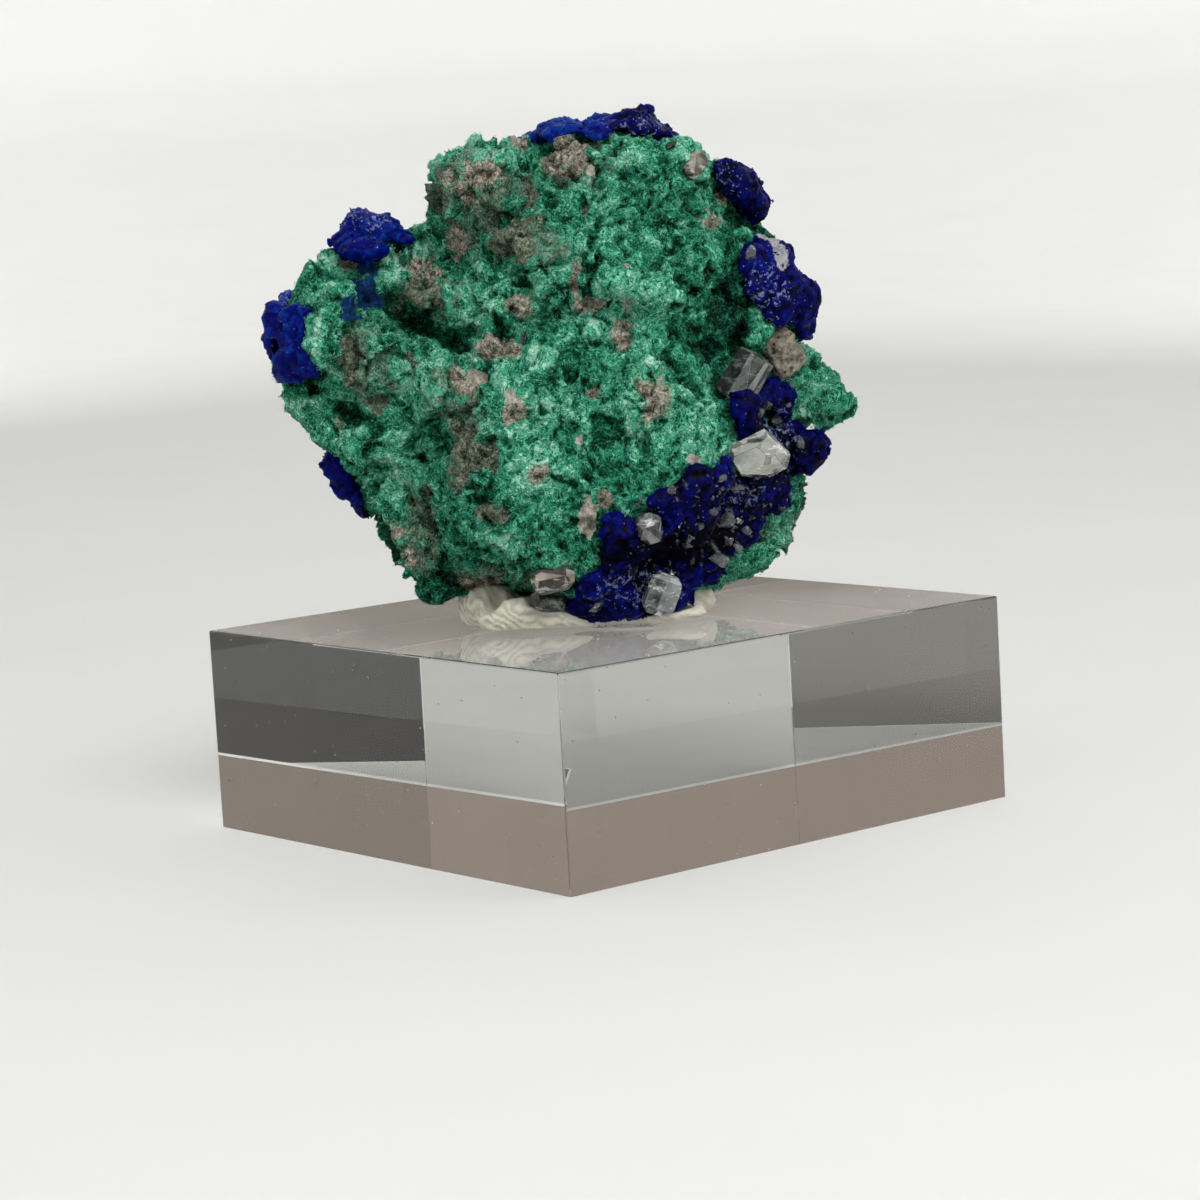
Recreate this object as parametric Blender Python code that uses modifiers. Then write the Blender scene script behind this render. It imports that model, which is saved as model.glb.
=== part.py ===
"""Azurite and malachite specimen stuck with mineral putty to a clear acrylic block.

Metres, +Z up. The origin is the centre of the block's underside, and the block's sides lie along X and Y.
The specimen's show face looks over one corner of the block. Its own shapes are listed in millimetres in the
show frame: X runs across the show face to the viewer's right, Y runs away from the viewer, and Z is the
height above the surface that the block stands on.
"""

import math
import random

import bmesh
import bpy
from mathutils import Euler, Matrix, Vector, noise
from mathutils.bvhtree import BVHTree

MM = 0.001

# Acrylic block
BLOCK_SIDE = 50 * MM
BLOCK_HEIGHT = 18 * MM
BLOCK_EDGE = 0.35 * MM

# Gap between touching pieces. Rounded meshes are kept further apart, so that none comes nearer than this.
GAP = 0.3 * MM
SAFE_GAP = 0.5 * MM

# Turn of the show face from the block's front side, about Z
SHOW_TURN = math.radians(-39.4)

# Material slots: colour, roughness, transmission
SLOTS = {
    "acrylic": ((1.0, 1.0, 1.0), 0.02, 1.0),
    "putty": ((0.72, 0.69, 0.60), 0.6, 0.0),
    "malachite": ((0.05, 0.27, 0.16), 0.75, 0.0),
    "azurite": ((0.010, 0.020, 0.24), 0.3, 0.0),
    "quartz": ((0.80, 0.80, 0.82), 0.15, 0.8),
    "sandstone": ((0.42, 0.36, 0.28), 0.8, 0.0),
}

# Malachite body: blocky lumps that are fused, as centre and half sizes
BODY_LUMPS = {
    "lower body": ((-2, 1, 35), (17.6, 13, 14.0)),
    "front shelf": ((-2.5, -8, 32.6), (12.6, 7.6, 11.2)),
    "upper body": ((1.4, 3, 47.8), (14.2, 13.4, 12.6)),
    "upper left corner": ((-6.8, 0, 53.2), (6.3, 7.6, 6.7)),
    "top ridge": ((-6.2, -0.4, 57.3), (3.8, 7.0, 3.8)),
    "left lobe": ((-18.2, 1, 43), (8.5, 9.2, 8.5)),
    "left cheek": ((-18.2, -1, 36.6), (5.5, 7, 5.0)),
    "left hip": ((-17.0, 0, 31.2), (5.0, 6.5, 4.6)),
    "chin": ((-12.0, -1, 26.6), (6.6, 8.5, 6.0)),
    "foot": ((0.6, 0, 23.8), (12.8, 10.5, 4.4)),
    "right skirt": ((10.4, 3.5, 28.0), (8.1, 8.5, 7.9)),
    "right flank": ((12.0, 4, 41.4), (6.0, 10, 12)),
    "right knob": ((20.3, 3, 35.6), (2.9, 3.4, 2.7)),
    "knob root": ((17.4, 4, 38), (3.3, 4, 2.6)),
    "back swell": ((0, 12, 41), (14, 10, 14)),
}
BODY_BLOCKINESS = 2.7
BODY_VOXEL = 0.7 * MM
BODY_TRIANGLES = 3900
BODY_LOWEST = 19.0 * MM

# Broken faces of the body: within a reach, what stands beyond the plane through a point is pressed back to it
BODY_FACES = {
    "upper front": ((0, -11, 47), (0.05, -1, 0.22), 60),
    "lower front": ((-3, -15.4, 35), (-0.06, -1, -0.14), 60),
    "left lobe front": ((-20, -7, 43), (-0.45, -1, 0.10), 16),
    "left lobe side": ((-23.7, 0, 48.9), (-0.85, 0, 0.53), 9),
    "lower right slope": ((7, -13.0, 29.9), (0.50, -0.80, -0.46), 16),
    "left underside": ((-23.1, -1, 33.2), (-0.8, -0.25, -0.6), 8),
    "chin underside": ((-17.0, -2, 22.6), (-0.62, -0.1, -0.78), 6),
    "top right": ((3.5, 0, 59.9), (0.27, 0.1, 1), 14),
    "right shoulder": ((16.3, 0, 53.2), (0.88, 0, 0.47), 9),
}
PRESS = 0.92

# Smaller chips, spread by chance over the body: count, reach, depth
CHIPS = (150, (2.2, 5.0), (0.3, 0.95))

# Hollows of the show face: points across and up, reach, depth
FACE_HOLLOWS = {
    "notch": ([(-14.6, 52.0), (-10.9, 50.2)], 1.3, 4.0),
    "long crevice": ([(-17.6, 47.0), (-15.4, 45.8), (-12.9, 44.5), (-10.4, 43.3)], 1.35, 5.0),
    "step under the upper body": ([(-9, 43.6), (-3.5, 44.7), (1.6, 45.8), (4.9, 44.4)], 1.3, 1.8),
    "fold under the left lobe": ([(-23.5, 39.2), (-19.6, 37.3), (-16.8, 35.6), (-12.8, 33.2)], 1.5, 2.4),
    "crack": ([(-13.0, 37.6), (-14.5, 34.8)], 0.9, 2.0),
    "hole": ([(-13.9, 30.6), (-14.2, 28.6)], 1.2, 2.6),
    "hollow by the centre": ([(1.6, 35), (3.4, 33.6)], 2.6, 1.6),
    "gap at the right edge": ([(12.4, 41.6), (11.8, 38.2)], 1.0, 3.0),
    "right dimple": ([(9.0, 43.4), (10.6, 41.8)], 1.6, 1.4),
    "left flake hollow": ([(-22.2, 43.4), (-20.9, 41.0)], 0.8, 1.6),
    "ridge flank": ([(-2.3, 57.6), (-3.3, 51.9)], 0.9, 1.0),
}

# Azurite crusts: outline of the part that covers the show face or the back, extra lumps round the sides,
# triangles
CRUSTS = {
    "azurite_crust_lower_right": (
        [(11.4, 40.4), (11.4, 32.8), (6.0, 30.9), (1.2, 28.8), (0.4, 25.4), (-1.8, 22.9), (-2.4, 20.8),
         (0.2, 18.8), (4.4, 19.0), (9.0, 20.8), (13.6, 22.6), (16.6, 26.0), (18.4, 29.0), (20.4, 30.2),
         (20.4, 33.0), (18.8, 34.6), (18.2, 38.4), (16.0, 39.6)],
        [((19.4, -1.0, 31.5), (1.9, 2.0, 1.7)), ((20.2, -0.4, 32.0), (1.2, 1.6, 1.2)),
         ((-0.4, -10.0, 20.2), (2.4, 2.0, 1.6)), ((2.2, -10.6, 19.9), (2.6, 2.0, 1.4)),
         ((6.2, -9.8, 20.6), (2.4, 2.0, 1.5))],
        1250,
    ),
    "azurite_crust_upper_right": (
        [(13.2, 46.2), (12.6, 50.2), (14.4, 51.4), (16.4, 50.8), (18.4, 48.6), (20.4, 44.8), (19.4, 41.8),
         (16.4, 42.0), (14.4, 43.6)],
        [((19.0, 1.6, 44.6), (1.9, 3.2, 2.4)), ((17.4, 1.0, 48.2), (1.7, 3.2, 2.0)),
         ((18.8, 1.0, 42.0), (1.5, 2.4, 1.3))],
        430,
    ),
    "azurite_crust_shoulder": (
        [(11.2, 57.6), (12.8, 58.4), (15.4, 57.0), (16.9, 52.8), (15.4, 51.6), (12.8, 53.9)],
        [((12.9, -1.6, 56.2), (2.0, 3.4, 1.3)), ((14.6, -0.8, 54.9), (1.7, 3.8, 1.6)),
         ((15.7, 0.0, 53.1), (1.2, 3.4, 1.4))],
        240,
    ),
    "azurite_crust_crest": (
        [],
        [((-0.9, -0.6, 60.2), (2.6, 4.6, 1.4)), ((2.6, -1.0, 60.0), (2.8, 5.0, 1.6)),
         ((5.4, -1.2, 59.9), (2.4, 4.4, 2.0)), ((6.4, -0.4, 61.0), (1.1, 2.0, 1.6)),
         ((8.0, -1.0, 58.8), (1.6, 3.4, 1.5)), ((-3.0, 7.0, 59.2), (3.2, 4.6, 1.4)),
         ((3.2, 6.6, 59.0), (3.4, 4.8, 1.4))],
        330,
    ),
    "azurite_knob_upper_left": (
        [],
        [((-19.0, 1.4, 52.6), (1.8, 2.2, 2.5)), ((-17.4, 1.2, 52.2), (2.0, 2.4, 1.9)),
         ((-15.4, 1.0, 51.7), (1.6, 2.0, 1.0)), ((-20.6, 1.0, 51.8), (1.6, 2.2, 1.1)),
         ((-18.6, -2.2, 51.4), (2.4, 2.0, 1.0))],
        260,
    ),
    "azurite_knob_left": (
        [(-27.0, 48.4), (-24.6, 48.2), (-22.6, 45.5), (-22.2, 39.6), (-25.0, 38.6), (-27.4, 42.0)],
        [((-25.2, -0.6, 46.0), (1.7, 3.2, 1.9)), ((-25.9, -1.0, 43.6), (2.0, 3.6, 2.3)),
         ((-25.0, -1.0, 41.4), (1.9, 3.2, 1.8))],
        300,
    ),
    "azurite_crust_lower_left": (
        [],
        [((-22.4, 0.6, 32.6), (1.3, 2.8, 1.3)), ((-21.2, 0.4, 31.0), (1.6, 3.0, 1.6)),
         ((-19.8, 0.2, 29.2), (1.5, 2.8, 1.7))],
        170,
    ),
    "azurite_crust_back": (
        [(-13, 49), (-8, 54), (0, 55), (8, 52), (12, 45), (11, 37), (5, 32), (-4, 31), (-11, 36)],
        [],
        520,
    ),
}

CRUST_SPACING = 1.7
CRUST_LUMP = (1.7, 2.1)
CRUST_VOXEL = 0.4 * MM
EVEN_VOXEL = 0.36 * MM

# Large single crystals and grains: slot, place across and up, share by which it is sunk, half sizes, turns in
# degrees, sides, share of blunt tip
CRYSTALS = {
    "quartz_crystal_large": ("quartz", (14.1, 32.2), 0.35, (2.2, 2.1, 2.5), (20, 62, 10), 6, 0.55),
    "quartz_crystal_tabular": ("quartz", (13.6, 38.6), 0.3, (1.9, 1.6, 2.4), (6, 34, 12), 6, 0.12),
    "sandstone_grain": ("sandstone", (17.0, 40.7), 0.5, (1.75, 1.5, 2.5), (5, -32, 20), 7, 0.35),
    "quartz_crystal_foot": ("quartz", (5.6, 20.9), 0.4, (1.75, 1.6, 1.9), (15, 20, 40), 6, 0.55),
    "quartz_crystal_small": ("quartz", (4.5, 26.9), 0.4, (1.15, 1.1, 1.35), (30, -15, 5), 6, 0.5),
    "quartz_grain_pink": ("quartz", (-3.8, 23.1), 0.5, (1.2, 1.3, 1.9), (10, 80, 0), 7, 0.5),
    "quartz_grain_grey": ("quartz", (-4.2, 21.0), -0.3, (1.1, 1.3, 1.7), (0, 104, 10), 6, 0.5),
    "quartz_grain_top": ("quartz", (10.2, 57.1), 0.3, (0.95, 0.9, 1.2), (0, 40, 0), 6, 0.5),
}

# Putty pad: lumps that are fused
PUTTY_LUMPS = {
    "pad": ((-0.6, -1.6, 18.7), (10.6, 10.0, 1.2)),
    "front roll": ((1.5, -9.8, 18.8), (8.4, 2.4, 0.9)),
    "left fold": ((-9.6, -5.4, 19.4), (2.8, 3.2, 1.5)),
    "left tongue": ((-7.0, -9.6, 19.0), (3.8, 1.7, 1.2)),
    "right curl": ((8.6, -4.6, 19.2), (1.9, 2.4, 1.2)),
}
PUTTY_VOXEL = 0.4 * MM
PUTTY_TRIANGLES = 520


def main():
    clear_scene()
    show = bpy.data.objects.new("show_frame", None)
    show.rotation_euler.z = SHOW_TURN
    bpy.context.scene.collection.objects.link(show)

    acrylic_block()
    body = malachite_mass(show)
    body_surface = surface_of(body.data)
    body_room = cutter("malachite_room", room_around(body.data, 4200), show)
    crusts = {}
    for index, (name, (outline, lumps, _)) in enumerate(CRUSTS.items()):
        bm = crust_lumps(body_surface, outline, lumps, index, from_behind=name.endswith("back"))
        crusts[name] = azurite_crust(name, bm, body_room, show)

    surfaces = [body_surface, *(surface_of(crust.data) for crust in crusts.values())]
    places = {name: crystal_place(name, surfaces) for name in CRYSTALS}
    pockets = cutter("crystal_pockets", crystal_pockets(places), show)
    cut(body, pockets)
    keep_largest_piece(applied(body).data)
    for name, crust in crusts.items():
        cut(crust, pockets)
        even_out(crust)
        reduce(crust, CRUSTS[name][2])
    foot_crust = crusts["azurite_crust_lower_right"]
    crust_room = cutter("azurite_room", room_around(foot_crust.data, 1400), show)
    for name, place in places.items():
        mesh = crystal_mesh(name, place)
        mesh.materials.append(material(CRYSTALS[name][0]))
        add_object(name, mesh, show)
    mounting_putty(show, [body_room, crust_room, pockets])


def clear_scene():
    for obj in list(bpy.data.objects):
        bpy.data.objects.remove(obj)


def collection(name):
    found = bpy.data.collections.get(name)
    if found is None:
        found = bpy.data.collections.new(name)
        bpy.context.scene.collection.children.link(found)
    return found


def add_object(name, mesh, parent=None, group="azurite_malachite_specimen"):
    obj = bpy.data.objects.new(name, mesh)
    collection(group).objects.link(obj)
    obj.parent = parent
    return obj


def material(slot):
    """The material of a slot, made at its first use."""
    if slot in bpy.data.materials:
        return bpy.data.materials[slot]
    colour, roughness, transmission = SLOTS[slot]
    made = bpy.data.materials.new(slot)
    made.use_nodes = True
    shader = made.node_tree.nodes["Principled BSDF"]
    shader.inputs["Base Color"].default_value = (*colour, 1)
    shader.inputs["Roughness"].default_value = roughness
    shader.inputs["Transmission Weight"].default_value = transmission
    return made


def cutter(name, mesh, parent):
    obj = add_object(name, mesh, parent, "cutters")
    obj.hide_render = True
    obj.display_type = "WIRE"
    return obj


def cut(obj, tool, solver="MANIFOLD"):
    difference = obj.modifiers.new("Without " + tool.name, "BOOLEAN")
    difference.operation = "DIFFERENCE"
    difference.solver = solver
    difference.object = tool


def reduce(obj, triangles):
    """Leaves about this many triangles, or a few more where that keeps the mesh closed."""
    fine = obj.data
    fine.calc_loop_triangles()
    for spare in range(8):
        facets = obj.modifiers.new("Facets", "DECIMATE")
        facets.ratio = min(1.0, triangles * (1 + 0.03 * spare) / len(fine.loop_triangles))
        facets.use_collapse_triangulate = True
        if is_closed(applied(obj).data):
            return
        obj.data = fine


def is_closed(mesh):
    bm = bmesh.new()
    bm.from_mesh(mesh)
    closed = all(edge.is_manifold for edge in bm.edges) and all(vert.is_manifold for vert in bm.verts)
    bm.free()
    return closed


def applied(obj):
    """Bakes an object's modifiers into its mesh."""
    bpy.context.view_layer.update()
    graph = bpy.context.evaluated_depsgraph_get()
    mesh = bpy.data.meshes.new_from_object(obj.evaluated_get(graph))
    obj.modifiers.clear()
    obj.data = mesh
    return obj


def keep_largest_piece(mesh):
    """Drops every crumb that a cut left beside the largest piece."""
    bm = bmesh.new()
    bm.from_mesh(mesh)
    left = set(bm.verts)
    pieces = []
    while left:
        piece = set()
        edge = [left.pop()]
        while edge:
            vert = edge.pop()
            piece.add(vert)
            for link in vert.link_edges:
                other = link.other_vert(vert)
                if other in left:
                    left.discard(other)
                    edge.append(other)
        pieces.append(piece)
    pieces.sort(key=len)
    crumbs = [vert for piece in pieces[:-1] for vert in piece]
    bmesh.ops.delete(bm, geom=crumbs, context="VERTS")
    bm.to_mesh(mesh)
    bm.free()


def mesh_from(bm, name):
    mesh = bpy.data.meshes.new(name)
    bm.to_mesh(mesh)
    bm.free()
    return mesh


def surface_of(mesh):
    bm = bmesh.new()
    bm.from_mesh(mesh)
    surface = BVHTree.FromBMesh(bm)
    bm.free()
    return surface


def fused(mesh, voxel, triangles=None, finish=None):
    """Crossing shapes as one closed mesh of about this many triangles. finish works on the fine points."""
    obj = bpy.data.objects.new("fused", mesh)
    bpy.context.scene.collection.objects.link(obj)
    remesh = obj.modifiers.new("Fuse", "REMESH")
    remesh.mode = "VOXEL"
    remesh.voxel_size = voxel
    applied(obj)
    if finish:
        fine = bmesh.new()
        fine.from_mesh(obj.data)
        finish(fine)
        fine.to_mesh(obj.data)
        fine.free()
    if triangles:
        reduce(obj, triangles)
    result = obj.data
    bpy.data.objects.remove(obj)
    return result


def even_out(obj):
    """Keeps the largest piece of a cut object, with even small faces."""
    keep_largest_piece(applied(obj).data)
    obj.data = fused(obj.data, EVEN_VOXEL)
    keep_largest_piece(obj.data)
    return obj


def room_around(mesh, triangles):
    """A mesh that stands out all round by the safe gap."""
    bm = bmesh.new()
    bm.from_mesh(mesh)
    bm.normal_update()
    moves = [vert.normal * SAFE_GAP * min(vert.calc_shell_factor(), 1.5) for vert in bm.verts]
    for vert, move in zip(bm.verts, moves):
        vert.co += move
    return fused(mesh_from(bm, "room"), 0.4 * MM, triangles)


def blocky(direction, power):
    """The point of a unit superellipsoid in this direction: power 2 is a ball, and more is squarer."""
    size = sum(abs(part) ** power for part in direction) ** (1 / power)
    return direction / size


def add_lump(bm, centre, half_sizes, power=2.0, divisions=3):
    """Adds a blocky lump, given in millimetres."""
    made = bmesh.ops.create_icosphere(bm, subdivisions=divisions, radius=1)
    for vert in made["verts"]:
        point = blocky(vert.co, power)
        vert.co = (Vector(centre) + Vector(half_sizes) * point) * MM


def press_face(verts, origin, normal, reach):
    """Flattens what stands beyond a plane, as a break would."""
    for vert in verts:
        beyond = (vert.co - origin).dot(normal)
        if beyond > 0 and (vert.co - origin).length < reach:
            vert.co -= normal * beyond * PRESS


def chip(bm, seed):
    """Breaks many small flat faces into the surface."""
    count, reaches, depths = CHIPS
    chance = random.Random(seed)
    bm.verts.ensure_lookup_table()
    bm.normal_update()
    for _ in range(count):
        vert = bm.verts[chance.randrange(len(bm.verts))]
        lean = Vector([chance.uniform(-0.5, 0.5) for _ in range(3)])
        normal = (vert.normal + lean).normalized()
        reach = chance.uniform(*reaches) * MM
        origin = vert.co - normal * chance.uniform(*depths) * MM
        press_face(bm.verts, origin, normal, reach)


def distance_to_path(point, path):
    """Shortest distance of a 2D point to a line through the path's points."""
    best = math.inf
    for start, end in zip(path, path[1:]):
        start, end = Vector(start), Vector(end)
        run = end - start
        share = max(0.0, min(1.0, (point - start).dot(run) / run.length_squared))
        best = min(best, (point - start - run * share).length)
    return best


def inside(point, outline):
    """Whether a 2D point lies in a closed outline."""
    crossings = 0
    for (x1, y1), (x2, y2) in zip(outline, outline[1:] + outline[:1]):
        if (y1 > point.y) != (y2 > point.y):
            crossings += point.x < x1 + (x2 - x1) * (point.y - y1) / (y2 - y1)
    return crossings % 2 == 1


def sink_hollows(bm):
    """Pushes the show face back along each hollow's path."""
    bm.normal_update()
    facing = [vert for vert in bm.verts if vert.normal.y < 0.1]
    for path, reach, depth in FACE_HOLLOWS.values():
        for vert in facing:
            away = distance_to_path(Vector((vert.co.x, vert.co.z)) / MM, path) / reach
            if away < 2.5:
                vert.co.y += depth * MM * math.exp(-away * away)


def roughen(bm, scale, height, seed, octaves=3):
    """Moves each point along its normal by fractal noise of this scale and height, in millimetres."""
    bm.normal_update()
    moves = []
    for vert in bm.verts:
        sample = vert.co / (scale * MM) + Vector((seed, -seed, 2 * seed))
        moves.append(vert.normal * height * MM * noise.fractal(sample, 0.9, 2.1, octaves))
    for vert, move in zip(bm.verts, moves):
        vert.co += move


def keep_above(bm, height):
    """Flattens what hangs below a height."""
    for vert in bm.verts:
        vert.co.z = max(vert.co.z, height)


def finish_body(bm):
    roughen(bm, 10, 1.2, seed=3)
    for point, direction, reach in BODY_FACES.values():
        press_face(bm.verts, Vector(point) * MM, Vector(direction).normalized(), reach * MM)
    sink_hollows(bm)
    roughen(bm, 4.2, 0.9, seed=8)
    chip(bm, seed=5)
    keep_above(bm, BODY_LOWEST)


def malachite_mass(show):
    bm = bmesh.new()
    for centre, half_sizes in BODY_LUMPS.values():
        add_lump(bm, centre, half_sizes, BODY_BLOCKINESS)
    mesh = fused(mesh_from(bm, "malachite_mass"), BODY_VOXEL, BODY_TRIANGLES, finish_body)
    mesh.materials.append(material("malachite"))
    return add_object("malachite_mass", mesh, show)


def surface_point(surface, across, up, from_behind=False):
    """Where a level line from the viewer, or from behind, meets the surface, or else its nearest point."""
    side = 1 if from_behind else -1
    start = Vector((across, 60 * side, up)) * MM
    point, normal, _, _ = surface.ray_cast(start, Vector((0, -side, 0)))
    if point is None:
        point, normal, _, _ = surface.find_nearest(Vector((across, 0, up)) * MM)
    return point, normal


def crust_lumps(surface, outline, lumps, seed, from_behind=False):
    """Lumps set closely over the outlined part of a surface, and the extra ones."""
    chance = random.Random(seed)
    bm = bmesh.new()
    if outline:
        low_x, high_x = min(x for x, _ in outline), max(x for x, _ in outline)
        low_z, high_z = min(z for _, z in outline), max(z for _, z in outline)
        rows = int((high_z - low_z) / CRUST_SPACING) + 1
        columns = int((high_x - low_x) / CRUST_SPACING) + 1
        for row in range(rows):
            for column in range(columns):
                across = low_x + (column + 0.5 * (row % 2)) * CRUST_SPACING + chance.uniform(-0.5, 0.5)
                up = low_z + row * CRUST_SPACING + chance.uniform(-0.5, 0.5)
                size = chance.uniform(*CRUST_LUMP)
                spot = Vector((across, up))
                rim = distance_to_path(spot, outline + outline[:1])
                if not inside(spot, outline) or rim < 0.55 * size:
                    continue
                point, normal = surface_point(surface, across, up, from_behind)
                centre = point / MM
                add_lump(bm, centre, (size, size, size), 2.6, divisions=2)
    for centre, half_sizes in lumps:
        add_lump(bm, centre, half_sizes, 2.2, divisions=3)
    return bm


def azurite_crust(name, bm, room, show):
    seed = 10 + len(name)

    def finish(fine):
        roughen(fine, 1.9, 0.45, seed)
        keep_above(fine, BLOCK_HEIGHT + SAFE_GAP)

    mesh = fused(mesh_from(bm, name), CRUST_VOXEL, finish=finish)
    mesh.materials.append(material("azurite"))
    obj = add_object(name, mesh, show)
    cut(obj, room)
    return even_out(obj)


def add_crystal(bm, centre, half_sizes, turns, sides, blunt, grow=0.0, seed=0):
    """Adds a prism with blunt pyramid ends, slightly irregular, as the hull of its corners. Sizes are in metres."""
    chance = random.Random(seed)
    across, deep, tall = (size + grow for size in half_sizes)
    turn = Euler([math.radians(angle) for angle in turns]).to_matrix()
    verts = []
    for height, width in ((-1, blunt), (-(1 - blunt * 0.6), 1), (1 - blunt * 0.6, 1), (1, blunt)):
        for index in range(sides):
            angle = math.tau * index / sides
            uneven = chance.uniform(0.88, 1.0)
            corner = Vector((
                across * width * uneven * math.cos(angle),
                deep * width * uneven * math.sin(angle),
                tall * height * chance.uniform(0.93, 1.0),
            ))
            verts.append(bm.verts.new(Vector(centre) + turn @ corner))
    hull = bmesh.ops.convex_hull(bm, input=verts)
    inner = [part for part in hull["geom_interior"] if isinstance(part, bmesh.types.BMVert)]
    bmesh.ops.delete(bm, geom=inner, context="VERTS")
    bmesh.ops.recalc_face_normals(bm, faces=bm.faces)


def crystal_place(name, surfaces):
    """The centre of a crystal that is sunk a little in the foremost surface at its place."""
    _, (across, up), sunk, half_sizes, _, _, _ = CRYSTALS[name]
    found = [surface_point(surface, across, up) for surface in surfaces]
    point, normal = min(found, key=lambda spot: spot[0].y + (spot[0].xz / MM - Vector((across, up))).length)
    outward = (normal + Vector((0, -1, 0))).normalized()
    return point + outward * min(half_sizes) * (1 - sunk) * MM


def crystal_mesh(name, place, grow=0.0):
    _, _, _, half_sizes, turns, sides, blunt = CRYSTALS[name]
    bm = bmesh.new()
    seed = list(CRYSTALS).index(name)
    add_crystal(bm, place, Vector(half_sizes) * MM, turns, sides, blunt, grow, seed)
    return mesh_from(bm, name)


def crystal_pockets(places):
    """The room that the large crystals take in what they grow from."""
    bm = bmesh.new()
    for name, place in places.items():
        bm.from_mesh(crystal_mesh(name, place, grow=1.2 * GAP))
    return mesh_from(bm, "crystal_pockets")


def mounting_putty(show, tools):
    bm = bmesh.new()
    for centre, half_sizes in PUTTY_LUMPS.values():
        add_lump(bm, centre, half_sizes)
    rest = BLOCK_HEIGHT + 1.2 * GAP
    pad = fused(mesh_from(bm, "mounting_putty"), PUTTY_VOXEL, finish=lambda fine: keep_above(fine, rest))
    obj = add_object("mounting_putty", pad, show)
    for tool in tools:
        cut(obj, tool)
    even_out(obj)
    reduce(obj, PUTTY_TRIANGLES)
    obj.data.materials.clear()
    obj.data.materials.append(material("putty"))


def acrylic_block():
    bm = bmesh.new()
    bmesh.ops.create_cube(bm, size=1, matrix=Matrix.Diagonal((BLOCK_SIDE, BLOCK_SIDE, BLOCK_HEIGHT, 1)))
    mesh = mesh_from(bm, "acrylic_block")
    mesh.materials.append(material("acrylic"))
    obj = add_object("acrylic_block", mesh)
    obj.location.z = BLOCK_HEIGHT / 2
    edges = obj.modifiers.new("Polished edges", "BEVEL")
    edges.width = BLOCK_EDGE
    edges.segments = 2


main()
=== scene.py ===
import math

import bmesh
import bpy
import numpy as np
from mathutils import Matrix, Vector
from mathutils.bvhtree import BVHTree


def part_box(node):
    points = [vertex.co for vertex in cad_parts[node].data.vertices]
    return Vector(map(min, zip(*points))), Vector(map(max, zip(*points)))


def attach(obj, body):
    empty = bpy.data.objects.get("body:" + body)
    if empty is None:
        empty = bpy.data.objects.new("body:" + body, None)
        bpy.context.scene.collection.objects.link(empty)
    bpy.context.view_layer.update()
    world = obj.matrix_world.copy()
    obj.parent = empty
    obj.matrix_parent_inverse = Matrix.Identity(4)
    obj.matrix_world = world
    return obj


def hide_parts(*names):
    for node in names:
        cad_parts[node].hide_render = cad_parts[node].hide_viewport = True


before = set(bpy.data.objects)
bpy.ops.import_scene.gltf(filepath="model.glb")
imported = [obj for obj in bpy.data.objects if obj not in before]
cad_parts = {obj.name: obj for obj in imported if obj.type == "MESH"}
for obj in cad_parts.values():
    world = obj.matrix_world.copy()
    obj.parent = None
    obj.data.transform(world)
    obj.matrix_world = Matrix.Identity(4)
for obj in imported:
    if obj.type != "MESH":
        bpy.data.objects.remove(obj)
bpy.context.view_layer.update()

# Lengths are in millimetres, apart from those of the floor, the lights and the camera, which are in
# metres. Places are given as seen from the front corner: across to the right, away from the eye, up.
mm = 0.001
viewTurn = math.radians(-39.4)
coarser = 1.0


def toView(points):
    c, s = math.cos(viewTurn), math.sin(viewTurn)
    x, y, z = np.asarray(points, float).T
    return np.stack([c * x + s * y, c * y - s * x, z], axis=1)


def fromView(points):
    c, s = math.cos(viewTurn), math.sin(viewTurn)
    x, y, z = np.asarray(points, float).T
    return np.stack([c * x - s * y, s * x + c * y, z], axis=1)


def scrambled(cell, seed):
    # a number from 0 to 1 for each cell of a grid, the same on every run
    h = cell[:, 0] * 73856093 ^ cell[:, 1] * 19349663 ^ cell[:, 2] * 83492791 ^ (seed + 11) * 668265263
    h = ((h & 0x7FFFFFFF) ^ (h >> 13 & 0x3FFFF)) * 1274126177 & 0x7FFFFFFF
    h = (h ^ h >> 15) * 461845907 & 0x7FFFFFFF
    return ((h ^ h >> 13) & 0xFFFFF) / 0xFFFFF


def softNoise(points, size, seed):
    # smooth noise from -1 to 1
    p = points / size + seed * 7.31
    cell = np.floor(p).astype(np.int64)
    part = p - cell
    ease = part * part * part * (part * (part * 6 - 15) + 10)
    total = np.zeros(len(p))
    for corner in range(8):
        step = np.array([corner & 1, corner >> 1 & 1, corner >> 2 & 1])
        total += np.prod(np.where(step, ease, 1 - ease), axis=1) * scrambled(cell + step, seed)
    return total * 2 - 1


layerTurn = np.array(Matrix.Rotation(0.9, 3, Vector((0.4, 0.8, 0.3))))


def layered(points, size, seed, layers=4, fade=0.5):
    # several sizes of smooth noise, each turned from the last so that no grid shows
    total, weight, weights = np.zeros(len(points)), 1.0, 0.0
    for layer in range(layers):
        total += weight * softNoise(points, size, seed + layer)
        weights += weight
        points, size, weight = points @ layerTurn.T, size * 0.52, weight * fade
    return total / weights


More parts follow.
